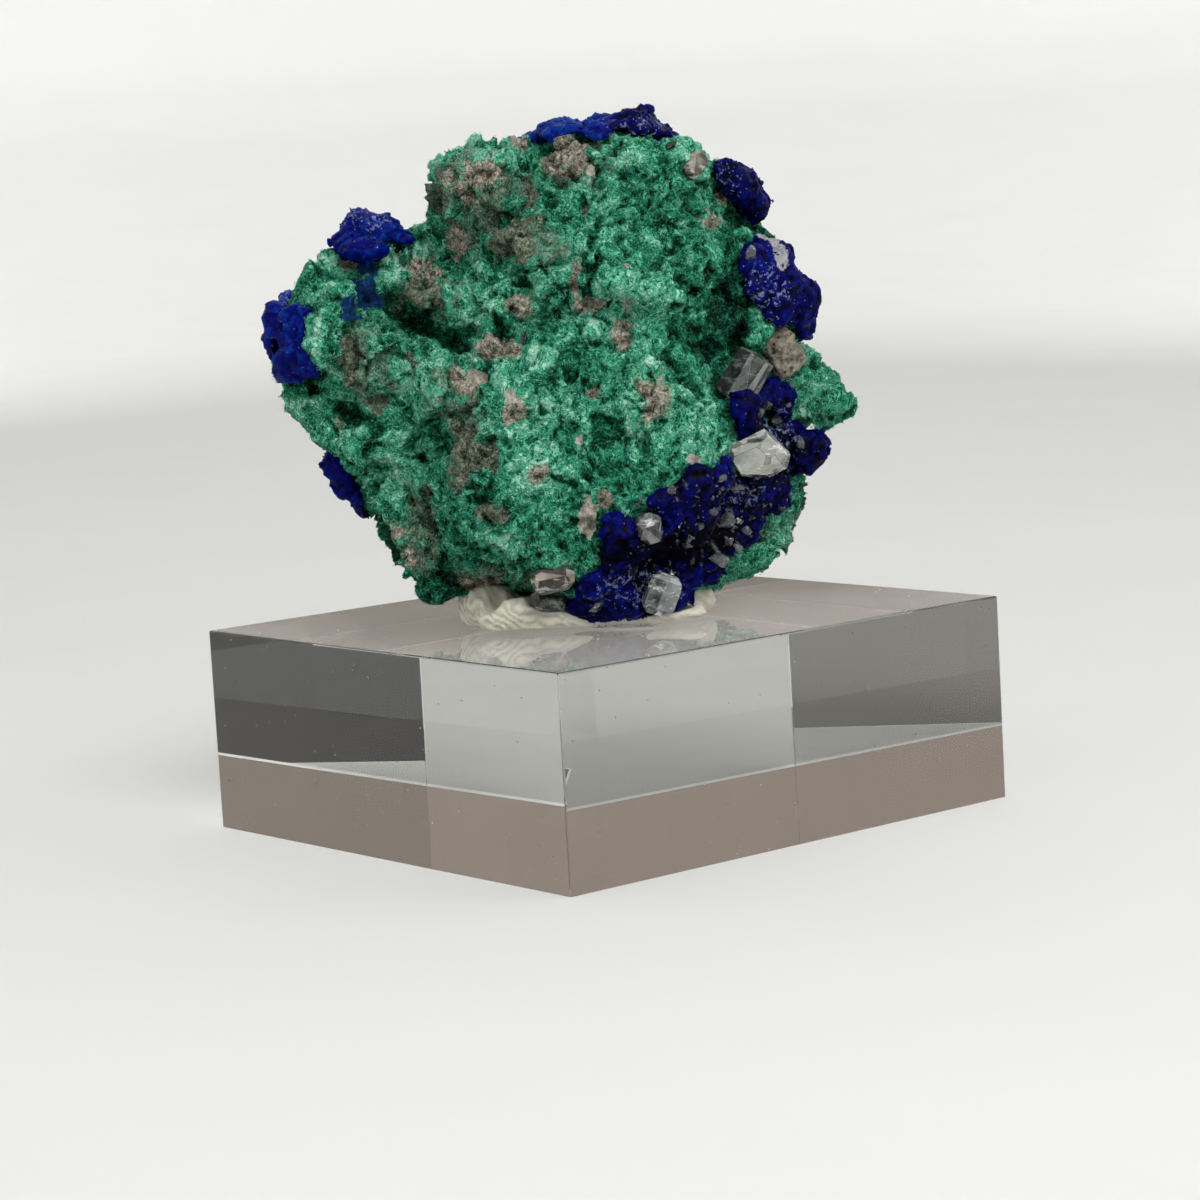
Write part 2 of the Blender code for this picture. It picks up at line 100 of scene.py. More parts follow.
def cells(points, size, seed):
    # distance to the nearest cell centre and to the next one, that centre, and a number for the cell
    p = points / size
    base = np.floor(p).astype(np.int64)
    near, second = np.full(len(p), 9.0), np.full(len(p), 9.0)
    centre, mark = np.zeros_like(p), np.zeros(len(p))
    for a in (-1, 0, 1):
        for b in (-1, 0, 1):
            for c in (-1, 0, 1):
                cell = base + (a, b, c)
                spot = cell + np.stack([scrambled(cell, seed + k) for k in (1, 2, 3)], axis=1)
                gap = np.linalg.norm(p - spot, axis=1)
                nearer = gap < near
                second = np.where(nearer, near, np.minimum(second, gap))
                near = np.where(nearer, gap, near)
                centre[nearer] = spot[nearer]
                mark[nearer] = scrambled(cell, seed + 4)[nearer]
    return near, second, centre * size, mark


def leaning(points, size, lean, seed, bend=0.0):
    # flat faces that each lean their own way, with a step between them; bend makes their edges wander
    centre, mark = cells(points + bend, size, seed)[2:]
    slope = np.stack([softNoise(centre, 0.21, seed + k) for k in (2, 3, 4)], axis=1)
    return np.sum((points - centre) * slope, axis=1) * lean * 1.6 + (mark - 0.5) * lean * size * 0.35


def between(low, high, value):
    # a smooth climb from 0 at low to 1 at high
    t = np.clip((value - low) / (high - low), 0, 1)
    return t * t * (3 - 2 * t)


def gathered(things, name, width, kind=float):
    values = np.empty(len(things) * width, kind)
    things.foreach_get(name, values)
    return values.reshape(-1, width)


def readPoints(mesh):
    return gathered(mesh.vertices, "co", 3) * 1000


def writePoints(mesh, points):
    mesh.vertices.foreach_set("co", (points * mm).ravel())
    mesh.update()


def normalsOf(mesh):
    return gathered(mesh.vertex_normals, "vector", 3)


def edgesOf(mesh):
    return gathered(mesh.edges, "vertices", 2, np.int64)


def added(name, data):
    thing = bpy.data.objects.new(name, data)
    bpy.context.scene.collection.objects.link(thing)
    return thing


def softened(values, edges, passes):
    # each value drawn half way to the mean of its neighbours, as many times as asked
    values = np.array(values, float)
    flat = values.ndim == 1
    values = values.reshape(len(values), -1)
    count = np.bincount(edges.ravel(), minlength=len(values))[:, None]
    for _ in range(passes):
        total = np.empty_like(values)
        for k in range(values.shape[1]):
            total[:, k] = np.bincount(edges[:, 0], values[edges[:, 1], k], len(values))
            total[:, k] += np.bincount(edges[:, 1], values[edges[:, 0], k], len(values))
        values = values * 0.5 + total / np.maximum(count, 1) * 0.5
    return values[:, 0] if flat else values


def fineMesh(name, nodes, voxel, passes, lumps=()):
    # the solids of these nodes as one even mesh, with their flat facets softened
    build = bmesh.new()
    for node in nodes:
        build.from_mesh(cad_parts[node].data)
    for x, y, z, radius in lumps:
        spot = Matrix.Translation(Vector(fromView([(x, y, z)])[0]) * mm)
        bmesh.ops.create_icosphere(build, subdivisions=3, radius=radius * mm, matrix=spot)
    bmesh.ops.remove_doubles(build, verts=build.verts, dist=1e-7)
    rough = bpy.data.meshes.new(name + "Rough")
    build.to_mesh(rough)
    build.free()
    helper = added(name + "Rough", rough)
    even = helper.modifiers.new("even", "REMESH")
    even.mode = "VOXEL"
    even.voxel_size = voxel * coarser * mm
    graph = bpy.context.evaluated_depsgraph_get()
    mesh = bpy.data.meshes.new_from_object(helper.evaluated_get(graph))
    bpy.data.objects.remove(helper)
    bpy.data.meshes.remove(rough)
    mesh.name = name
    mesh.materials.clear()
    writePoints(mesh, softened(readPoints(mesh), edgesOf(mesh), passes))
    return mesh


def meshFrom(name, points, faces):
    mesh = bpy.data.meshes.new(name)
    mesh.from_pydata((np.asarray(points) * mm).tolist(), [], [list(map(int, f)) for f in faces])
    mesh.update()
    return mesh


def paint(mesh, **layers):
    # numbers kept on the points, for the finishes to read
    for name, values in layers.items():
        layer = mesh.attributes.new(name, "FLOAT", "POINT")
        layer.data.foreach_set("value", np.asarray(values, np.float32).ravel())


def place(name, mesh, finish, nodes=(), smooth=True):
    piece = added(name, mesh)
    mesh.materials.append(finish)
    (mesh.shade_smooth if smooth else mesh.shade_flat)()
    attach(piece, "root")
    if nodes:
        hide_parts(*nodes)
    print("made", name, "with", sum(len(p.vertices) - 2 for p in mesh.polygons), "triangles")
    return piece


def pieceName(node):
    first, *rest = node.split("_")
    return first + "".join(word.title() for word in rest)


def treeOf(mesh):
    faces = [tuple(p.vertices) for p in mesh.polygons]
    return BVHTree.FromPolygons([tuple(p) for p in readPoints(mesh)], faces)


def landing(trees, across, up, start=-60.0):
    # the first point met by a line that runs straight away from the eye
    origin = Vector(fromView([(across, start, up)])[0])
    ahead = Vector(fromView([(0, 1, 0)])[0])
    hits = [tree.ray_cast(origin, ahead) for tree in trees]
    hits = [(hit[3], hit[0], hit[1]) for hit in hits if hit[0] is not None]
    if not hits:
        return None
    _, point, normal = min(hits, key=lambda hit: hit[0])
    return point, normal


def blots(seen, places, wobble, reach=3.0, edge=(0.75, 1.15)):
    # how far each point lies inside any of these places, from 0 to 1
    mask = np.zeros(len(seen))
    for x, y, z, halfWidth, halfHeight in places:
        gap = np.sqrt(
            ((seen[:, 0] - x) / halfWidth) ** 2
            + ((seen[:, 2] - z) / halfHeight) ** 2
            + ((seen[:, 1] - y) / reach) ** 2
        )
        mask = np.maximum(mask, 1 - between(*edge, gap + wobble))
    return mask


def alongPath(seen, path, width, reach=3.5):
    # how close each point lies to a line drawn on the stone, from 0 to 1
    best = np.full(len(seen), 1e9)
    for a, b in zip(path[:-1], path[1:]):
        a, b = np.array(a, float), np.array(b, float)
        run = b - a
        t = np.clip((seen - a) @ run / (run @ run), 0, 1)
        gap = seen - (a + t[:, None] * run)
        gap[:, 1] *= width / reach
        best = np.minimum(best, np.linalg.norm(gap, axis=1))
    return 1 - between(0.15 * width, width, best)


def tint(*seen):
    # a colour as seen, 0 to 255, as the linear one that the shader needs
    channels = [v / 255 for v in seen]
    return tuple(v / 12.92 if v <= 0.04045 else ((v + 0.055) / 1.055) ** 2.4 for v in channels) + (1.0,)


class Wire:
    # one output of a node; sums and products of it add Math nodes
    def __init__(self, finish, socket):
        self.finish, self.socket = finish, socket

    def joined(self, operation, first, second, clamp=False):
        settings = {"operation": operation, "use_clamp": clamp}
        return self.finish.node("ShaderNodeMath", settings, {0: first, 1: second})

    def __add__(self, other):
        return self.joined("ADD", self, other)

    def __radd__(self, other):
        return self.joined("ADD", other, self)

    def __sub__(self, other):
        return self.joined("SUBTRACT", self, other)

    def __rsub__(self, other):
        return self.joined("SUBTRACT", other, self)

    def __mul__(self, other):
        return self.joined("MULTIPLY", self, other)

    def __rmul__(self, other):
        return self.joined("MULTIPLY", other, self)

    def held(self):
        # kept from 0 to 1
        return self.joined("ADD", self, 0.0, clamp=True)

    def unsigned(self):
        return self.joined("ABSOLUTE", self, 0.0)


class Finish:
    # one material: a glossy surface shader and the nodes that feed it
    def __init__(self, name, **constants):
        self.material = bpy.data.materials.new(name)
        self.material.use_nodes = True
        self.nodes = self.material.node_tree.nodes
        self.links = self.material.node_tree.links
        self.nodes.clear()
        self.output = self.nodes.new("ShaderNodeOutputMaterial")
        self.shader = self.nodes.new("ShaderNodeBsdfPrincipled")
        self.links.new(self.shader.outputs[0], self.output.inputs["Surface"])
        self.where = self.nodes.new("ShaderNodeTexCoord").outputs["Object"]
        for socket, value in constants.items():
            self.shader.inputs[socket.replace("_", " ")].default_value = value

    def node(self, kind, settings=None, inputs=None, output=0):
        made = self.nodes.new(kind)
        for key, value in (settings or {}).items():
            if key == "stops":
                ramp = made.color_ramp
                while len(ramp.elements) < len(value):
                    ramp.elements.new(0.5)
                for element, (position, colour) in zip(ramp.elements, value):
                    element.position, element.color = position, colour
            else:
                setattr(made, key, value)
        for key, value in (inputs or {}).items():
            if isinstance(value, Wire):
                self.links.new(value.socket, made.inputs[key])
            else:
                made.inputs[key].default_value = value
        return Wire(self, made.outputs[output])

    def layer(self, name):
        return self.node("ShaderNodeAttribute", {"attribute_name": name}, {}, "Fac")

    def noise(self, size, detail=3.0, roughness=0.55, distortion=0.0, stretch=(1, 1, 1)):
        # grain of about this size in millimetres
        scale = [1000 / size * s for s in stretch]
        scaled = self.node("ShaderNodeMapping", {}, {"Vector": Wire(self, self.where), "Scale": scale})
        inputs = {"Vector": scaled, "Scale": 1.0, "Detail": detail}
        inputs.update({"Roughness": roughness, "Distortion": distortion})
        return self.node("ShaderNodeTexNoise", {}, inputs, "Fac")

    def speckle(self, size):
        # distance to the nearest of many scattered points, this many millimetres apart
        inputs = {"Vector": Wire(self, self.where), "Scale": 1000 / size}
        return self.node("ShaderNodeTexVoronoi", {}, inputs, "Distance")

    def step(self, value, low, high):
        settings = {"interpolation_type": "SMOOTHSTEP"}
        inputs = {"Value": value, "From Min": low, "From Max": high, "To Min": 0.0, "To Max": 1.0}
        return self.node("ShaderNodeMapRange", settings, inputs)

    def mix(self, factor, first, second):
        return self.node("ShaderNodeMix", {"data_type": "RGBA"}, {0: factor, 6: first, 7: second}, 2)

    def ramp(self, value, *stops):
        return self.node("ShaderNodeValToRGB", {"stops": stops}, {"Fac": value})

    def bump(self, height, depth, strength=1.0):
        inputs = {"Height": height, "Distance": depth * mm, "Strength": strength}
        self.feed("Normal", self.node("ShaderNodeBump", {}, inputs))

    def feed(self, socket, wire):
        self.links.new(wire.socket, self.shader.inputs[socket])

    def absorb(self, colour, density):
        inside = self.node("ShaderNodeVolumeAbsorption", {}, {"Color": colour, "Density": density})
        self.links.new(inside.socket, self.output.inputs["Volume"])


malachite = {
    "voxel": 0.32,
    "soften": 4,
    # rounded lumps added to the solid's shape, with their radius: behind the upper notch, beside the
    # left knob and under the lower left crust
    "extra": [
        (-13.6, 2.6, 52.2, 1.5), (-12.7, 1.5, 52.6, 1.2), (-22.2, -7.0, 45.8, 1.8),
        (-22.4, -6.6, 43.0, 1.8), (-20.0, 0.3, 32.0, 1.7), (-19.3, 0.3, 29.6, 1.7),
    ],
    "lumps": 0.52,  # how far the broad lumps stand out
    "plates": ((3.8, 0.3), (1.8, 0.22)),  # size and lean of the broken faces
    "wander": 0.9,  # how far the edges of the broken faces wander
    "grit": 0.13,
    "ridges": ((1.1, 0.12), (0.6, 0.11)),  # size and height of the matted ridges
    "gaps": 0.3,  # depth of the thin winding gaps
    "pits": 0.45,  # depth of the dark places
    "relief": (-1.3, 0.75),  # lowest and highest that the relief may go
    "ragged": 1.25,  # how uneven the edges of the places are
    "seed": 5,
    # each place is given by across, away, up, half width and half height
    "tan": [
        (-4.7, -4.1, 59.7, 0.9, 1.2), (-0.4, -5.7, 58.4, 2.5, 1.5), (-7.7, -5.9, 57.4, 1.1, 1.1),
        (11.5, -3.4, 52.1, 1.4, 1.2), (12.3, -2.3, 54.0, 0.7, 0.8), (-0.4, -9.8, 48.5, 0.6, 1.2),
        (-5.1, -9.0, 46.0, 1.1, 1.2), (0.9, -8.8, 45.6, 1.4, 1.0), (3.4, -10.0, 43.3, 0.9, 2.1),
        (-7.2, -11.0, 42.9, 1.8, 1.1), (5.6, -12.9, 37.9, 1.3, 2.0), (0.7, -11.8, 38.4, 0.5, 0.5),
        (-9.8, -11.2, 39.7, 1.6, 1.6), (-6.3, -12.6, 37.3, 1.2, 1.1), (-9.8, -7.1, 22.6, 2.1, 1.1),
        (-17.0, -6.7, 26.8, 0.9, 0.7), (-16.2, -8.0, 25.0, 0.8, 0.8), (-4.4, -14.7, 32.1, 0.7, 0.7),
        (1.1, -14.6, 29.7, 0.6, 0.8), (-10.4, -1.5, 51.2, 1.0, 1.6), (0.6, -8.6, 54.2, 0.6, 0.7),
        (4.1, -10.2, 48.6, 0.4, 0.4), (-20.0, -0.5, 50.4, 1.1, 0.7), (-11.4, 0.0, 54.6, 1.0, 0.9),
        (-9.4, -3.5, 55.6, 0.9, 0.8), (-14.6, -3.8, 50.0, 1.3, 0.9), (-12.3, -3.6, 48.8, 1.0, 1.2),
        (-10.6, -2.0, 57.0, 0.9, 0.7),
    ],
    "brown": [
        (-11.9, 1.6, 55.2, 1.4, 1.6), (-10.6, -2.9, 53.2, 0.8, 0.9), (-3.9, -5.1, 54.8, 1.2, 1.8),
        (-6.1, -9.1, 51.8, 2.0, 2.5), (-14.4, -5.5, 48.4, 2.3, 1.5), (-12.3, -5.3, 46.9, 1.2, 2.0),
        (-20.3, -6.5, 42.3, 0.9, 2.3), (-14.9, -7.8, 41.7, 1.0, 1.2), (-17.8, -5.2, 38.1, 1.3, 1.2),
        (-13.1, -8.7, 36.7, 0.8, 0.7), (-10.5, -11.7, 34.2, 1.9, 3.4), (-8.6, -14.8, 29.0, 1.2, 0.9),
        (-14.1, -7.6, 30.5, 0.6, 0.9), (-21.5, -6.1, 46.0, 0.7, 0.7), (-21.2, -5.3, 37.1, 0.7, 0.5),
        (-9.5, -6.2, 55.1, 0.7, 0.9), (-10.8, -1.5, 56.2, 2.0, 1.7), (-12.6, -3.4, 50.8, 2.0, 1.2),
        (-8.3, -12.4, 33.0, 0.9, 1.6),
    ],
    "white": [
        (-0.4, -14.4, 27.8, 0.9, 1.9), (-0.8, -12.8, 34.5, 0.4, 0.4), (8.7, -12.9, 32.3, 0.7, 0.5),
        (1.9, -6.8, 57.1, 0.8, 0.4), (-9.3, -11.2, 40.2, 1.0, 0.9), (-6.4, -11.6, 38.6, 0.6, 0.7),
    ],
    "blue": [
        (-18.3, -1.0, 49.6, 1.2, 1.1), (-19.2, -2.3, 48.1, 1.6, 1.6), (-19.8, -6.5, 46.5, 1.2, 1.0),
        (-17.9, -2.4, 46.4, 0.6, 0.6),
    ],
    "mint": [
        (-16.4, -0.5, 51.0, 3.6, 1.1), (-21.0, -2.0, 50.6, 1.6, 1.4), (-15.5, -3.0, 49.6, 1.6, 1.0),
        (-22.6, -6.0, 44.6, 1.0, 2.6),
    ],
    "smooth": [(0.7, -10.6, 43.3, 0.9, 0.9), (-3.5, -12.3, 41.5, 1.4, 1.4)],
    # dark places: pits that are dug in and darkened with painted shade
    "dark": [
        (1.6, -12.2, 35.2, 1.5, 1.5), (-3.4, -8.7, 44.0, 1.2, 0.6), (-7.0, -9.2, 44.0, 0.9, 0.4),
        (11.7, -5.7, 38.9, 0.8, 1.8), (12.9, -4.3, 41.4, 0.9, 0.9), (14.1, -5.4, 42.7, 0.7, 0.9),
        (-18.1, -6.6, 36.2, 0.9, 0.6), (-20.8, -4.7, 38.0, 0.8, 0.4), (-13.6, -7.8, 35.7, 0.6, 1.0),
        (-14.3, -7.5, 30.0, 0.5, 1.1), (-13.6, -8.2, 27.8, 0.8, 0.6), (-9.0, -14.7, 30.2, 1.2, 0.4),
        (-1.0, -6.5, 56.2, 0.6, 0.5), (-2.3, -6.4, 54.4, 0.7, 0.9), (10.7, -8.4, 50.2, 0.7, 0.5),
        (11.0, -7.0, 47.4, 0.7, 1.2), (-22.0, -5.8, 43.8, 0.4, 0.7), (-19.6, -7.2, 42.8, 0.3, 1.2),
    ],
    # a path, a width and a depth each
    "cracks": [
        ([(-17.4, -2.3, 46.7), (-15.0, -2.3, 45.2), (-12.7, -2.5, 43.9), (-10.6, -5.8, 42.9)], 1.5, 0.8),
        ([(-21.6, -4.4, 38.1), (-19.7, -5.0, 37.1), (-17.7, -6.3, 36.3)], 0.7, 0.5),
        ([(11.2, -5.3, 41.7), (11.5, -6.2, 39.8), (11.8, -6.7, 38.0)], 0.6, 0.6),
    ],
    "olive": [
        (-8.5, -4.0, 54.6, 6.0, 5.2), (-13.8, -5.0, 48.0, 4.6, 3.0), (-18.6, -6.0, 41.6, 3.4, 4.2),
        (-10.2, -11.0, 36.0, 3.6, 6.5), (-8.0, -9.0, 23.4, 4.2, 2.8), (-15.4, -8.0, 27.0, 2.6, 3.6),
        (-3.0, -8.0, 51.5, 3.0, 2.6), (0.5, -6.5, 57.8, 4.0, 2.2),
    ],
    "deepGreen": [(12.0, -5.8, 45.4, 2.6, 3.4), (10.8, -8.0, 42.4, 2.6, 2.6), (13.4, -5.0, 48.0, 1.2, 2.0)],
}
patches = ("tan", "brown", "olive", "white", "blue")  # painted on the mesh for its finish to read


def malachiteFinish():
    f = Finish("malachiteFelt", Roughness=0.85, Specular_IOR_Level=0.1)
    tan, brown, olive, white, blue = (f.layer(name) for name in patches)
    hollow, tone = f.layer("hollow"), f.layer("tone")
    strands = f.noise(0.62, detail=3.0, roughness=0.6, distortion=1.6)
    hairs = f.noise(0.32, detail=2.0, roughness=0.6, distortion=2.4)
    broad = f.noise(2.6, detail=4.0, roughness=0.6)
    fine = f.noise(0.13, detail=2.0)
    # matted threads, with thin dark creases between them; their brightness is painted light and shade: dark
    # in the creases and hollows, paler on the raised threads
    creases = f.step((strands - 0.5).unsigned(), 0.05, 0.0)
    threads = f.step((hairs - 0.5).unsigned(), 0.06, 0.0)
    patchy = f.noise(1.1, detail=2.0, roughness=0.5, distortion=1.0)
    lit = strands * 0.9 + hairs * 0.7 + threads * 0.3 - creases * 0.45 + tone * 0.62
    lit = (lit + broad * 0.9 + patchy * 0.8 - 1.43 - hollow * 0.42).held()
    green = f.ramp(
        lit, (0.0, tint(1, 16, 11)), (0.16, tint(5, 54, 38)), (0.36, tint(22, 114, 84)),
        (0.58, tint(62, 168, 132)), (0.8, tint(124, 206, 170)), (1.0, tint(196, 230, 210)),
    )
    # the sandy matrix that shows through: pale grains with browner ones between them, with painted shade in
    # the creases and hollows
    sandNoise = f.noise(0.34, detail=4.0, roughness=0.7, distortion=0.8)
    grainy = (sandNoise * 1.9 + fine * 0.3 + threads * 0.15 - creases * 0.3 - 0.6 - hollow * 0.35).held()
    sandy = f.ramp(
        grainy, (0.05, tint(44, 44, 36)), (0.4, tint(134, 126, 112)),
        (0.7, tint(190, 179, 164)), (1.0, tint(238, 229, 218)),
    )
    browner = f.ramp(
        grainy, (0.05, tint(18, 30, 22)), (0.4, tint(84, 94, 78)),
        (0.7, tint(136, 138, 118)), (1.0, tint(200, 196, 178)),
    )
    # every patch has a torn edge and lets a little green through
    torn = (strands - 0.5) * 1.3 + (hairs - 0.5) * 1.1
    colour = f.mix(f.step(olive * 0.62 + torn * 0.9, 0.3, 0.72) * 0.85, green, browner)
    colour = f.mix(f.step(brown + torn, 0.36, 0.72) * 0.92, colour, browner)
    colour = f.mix(f.step(tan + torn, 0.36, 0.7) * 0.92, colour, sandy)
    pale = f.mix(grainy, tint(126, 120, 106), tint(220, 216, 206))
    colour = f.mix(f.step(white + torn * 0.8, 0.4, 0.6), colour, pale)
    # the blue is darkened by painted shade in the creases
    blueDepth = (broad * 0.6 + strands * 1.1 + hairs * 0.9 + threads * 0.3 - creases * 0.3 - 0.95).held()
    blueTone = f.mix(blueDepth, tint(2, 12, 58), tint(34, 92, 150))
    colour = f.mix(f.step(blue + torn * 1.2, 0.3, 0.72), colour, blueTone)
    f.feed("Base Color", colour)
    f.feed("Roughness", 0.74 + fine * 0.22)
    f.bump(strands * 0.4 + hairs * 0.3 + threads * 0.15 - creases * 0.3, 0.16)
    return f.material


def makeMalachite():
    m = malachite
    mesh = fineMesh("malachite", ["malachite_mass"], m["voxel"], m["soften"], m["extra"])
    points, normals, edges = readPoints(mesh), normalsOf(mesh), edgesOf(mesh)
    seen = toView(points)
    wobble = layered(points, 1.9, 40, 4, 0.7) * m["ragged"]
    rear = between(2.0, 6.0, seen[:, 1])
    masks = {name: blots(seen, m[name], wobble, edge=(0.55, 1.3)) for name in ("tan", "brown", "olive")}
    masks.update({name: blots(seen, m[name], wobble) for name in ("blue", "dark", "deepGreen", "mint")})
    masks["white"] = blots(seen, m["white"], wobble * 0.5)
    smooth = blots(seen, m["smooth"], wobble * 0.2)
    # away from the eye the matrix shows in scattered patches of its own
    masks["tan"] = np.maximum(masks["tan"], between(0.20, 0.34, layered(points, 5.0, 61, 4)) * rear)
    masks["brown"] = np.maximum(masks["brown"], between(0.16, 0.30, layered(points, 6.5, 72, 4)) * rear)
    masks["olive"] = np.maximum(masks["olive"], between(0.0, 0.25, layered(points, 8.0, 83, 3)) * rear)
    lumps = layered(points, 3.4, m["seed"], 3) * m["lumps"]
    grit = layered(points, 1.1, m["seed"] + 9, 3, 0.6)
    warp = np.stack([softNoise(points, 1.3, m["seed"] + 60 + k) for k in range(3)], axis=1) * 0.55
    gapNoise = softNoise(points + warp, 1.7, m["seed"] + 21)
    gapShare = between(-0.1, 0.35, layered(points, 3.0, m["seed"] + 25, 2))
    gaps = (1 - between(0.03, 0.17, np.abs(gapNoise))) * gapShare * m["gaps"]
    stony = np.maximum(masks["tan"], masks["brown"])
    near, second = cells(points, 1.25, m["seed"] + 30)[:2]
    grains = (0.5 - near) * 0.34 - (1 - between(0.0, 0.22, second - near)) * 0.18
    wander = np.stack([softNoise(points, 2.3, m["seed"] + 63 + k) for k in range(3)], axis=1)
    wander = wander * m["wander"] + warp
    largest = m["plates"][0][0]
    plates = sum(
        leaning(points + warp, size, lean, m["seed"] + 50 + k, wander * size / largest)
        for k, (size, lean) in enumerate(m["plates"])
    )
    for k, (size, height) in enumerate(m["ridges"]):
        ridge = 0.75 - np.abs(softNoise(points + warp, size, m["seed"] + 70 + k)) * 2.4
        lumps += ridge * height * (1 - 0.8 * smooth)
    move = lumps + plates + grit * m["grit"] * (1 - 0.7 * smooth) - gaps * (1 - stony) * (1 - smooth)
    move += stony * grains + masks["tan"] * 0.12 + smooth * 0.2
    move -= masks["dark"] * m["pits"]
    crack = np.zeros(len(points))
    for path, width, depth in m["cracks"]:
        line = alongPath(seen, path, width)
        crack = np.maximum(crack, line)
        move -= line * depth
    move = np.clip(move, *m["relief"])
    fresh = points + normals * move[:, None]
    writePoints(mesh, fresh)
    # painted shade: how far a point lies below the ground around it, to darken the colour there; the dark
    # pits and the cracks are given it too
    level = softened(move, edges, 10)
    hollow = np.clip((level - move) / 0.35, -0.5, 1.0)
    hollow = np.maximum(hollow, np.maximum(masks["dark"] * 0.8, crack * 0.95))
    # painted shade: the green is darker low on the left, where the stone's underside is turned from the light
    low = between(0.0, 1.0, (36 - seen[:, 2]) / 14) * between(0.0, 1.0, (-6 - seen[:, 0]) / 8)
    tone = 0.5 + 0.5 * layered(points, 4.5, 90, 3) - 0.45 * masks["deepGreen"] - 0.35 * low
    tone += smooth * 0.4 + masks["mint"] * 0.5
    paint(mesh, hollow=hollow, tone=tone, **{name: masks[name] for name in patches})
    piece = place("malachite", mesh, malachiteFinish(), ["malachite_mass"])
    # where few fibres grow
    bare = np.maximum.reduce([
        masks["tan"] * 0.95, masks["brown"] * 0.85, masks["olive"] * 0.5, masks["white"], masks["blue"],
        masks["dark"] * 0.7, smooth,
    ])
    return piece, fresh, normalsOf(mesh), bare, tone, crack


felt = {
    "share": 0.7,  # share of the mesh's points that carry a fibre
    "length": (0.2, 0.5),
    "lift": (0.0, 0.05),
    "radius": (0.028, 0.046),
    "sway": 0.28,  # how far the fibres turn, bend and differ in tone
    "stray": 0.12,  # how far they stand off their point of the mesh
    "seed": 31,
}


def feltFinish():
    f = Finish("malachiteFibres", Roughness=0.6, Specular_IOR_Level=0.25)
    tone = f.layer("tone")
    # the fibres take the stone's tone, with its painted shade low on the left
    lit = (tone * 0.9 + f.noise(0.8, detail=2.0) * 0.4 - 0.2).held()
    colour = f.ramp(
        lit, (0.0, tint(10, 66, 50)), (0.35, tint(38, 118, 93)),
        (0.7, tint(92, 166, 138)), (1.0, tint(156, 206, 184)),
    )
    f.feed("Base Color", colour)
    f.feed("Roughness", 0.5 + lit * 0.2)
    return f.material


def makeFelt(points, normals, bare, tone, crack):
    m = felt
    dice = np.random.default_rng(m["seed"])
    chance = m["share"] * (1 - np.clip(bare, 0, 1)) * (1 - 0.8 * np.clip(crack, 0, 1))
    chosen = np.flatnonzero(dice.random(len(points)) < chance)
    p, n, tones = points[chosen], normals[chosen], tone[chosen]
    count = len(chosen)
    flow = np.stack([layered(p, 1.6, m["seed"] + k, 2) for k in (1, 5, 9)], axis=1)
    flow += dice.normal(0, m["sway"], (count, 3))
    along = flow - n * np.sum(flow * n, axis=1)[:, None]
    along /= np.linalg.norm(along, axis=1)[:, None]
    side = np.cross(n, along)
    length = dice.uniform(*m["length"], count)[:, None]
    lift = dice.uniform(*m["lift"], count)[:, None]
    bend = dice.normal(0, m["sway"], count)[:, None] * length
    width = dice.uniform(*m["radius"], count)[:, None]
    ahead, aside = (dice.normal(0, m["stray"], count)[:, None] for _ in range(2))
    p = p + along * ahead + side * aside
    start = p - n * 0.05 - along * length * 0.5
    middle = p + n * lift + side * bend * 0.5
    end = p + along * length * 0.5 - n * 0.02
    # each fibre is a thin spindle: a start, three points round its middle, an end
    fibres = np.empty((count, 5, 3))
    fibres[:, 0], fibres[:, 4] = start, end
    for k in range(3):
        angle = 2 * math.pi * k / 3
        out = n * math.cos(angle) + side * math.sin(angle)
        fibres[:, 1 + k] = middle + out * width
    pattern = np.array([(0, 2, 1), (0, 3, 2), (0, 1, 3), (1, 2, 4), (2, 3, 4), (3, 1, 4)])
    paler = [0, 0.08, 0.08, 0.08, 0.2]  # towards the tip
    shade = np.clip(tones + dice.normal(0, m["sway"], count), 0, 1.3)
    depth = toView(p)[:, 1]
    rear = depth > np.median(depth)
    finish = feltFinish()
    for name, mine in (("malachiteFeltFront", ~rear), ("malachiteFeltBack", rear)):
        count = np.sum(mine)
        faces = (np.arange(count)[:, None, None] * 5 + pattern).reshape(-1, 3)
        corners = fibres[mine].reshape(-1, 3)
        a, b, c = (corners[faces[:, k]] for k in range(3))
        if np.sum(a * np.cross(b, c)) < 0:  # inside out
            faces = faces[:, ::-1]
        mesh = meshFrom(name, corners, faces)
        paint(mesh, tone=np.repeat(shade[mine], 5) + np.tile(paler, count))
        place(name, mesh, finish)


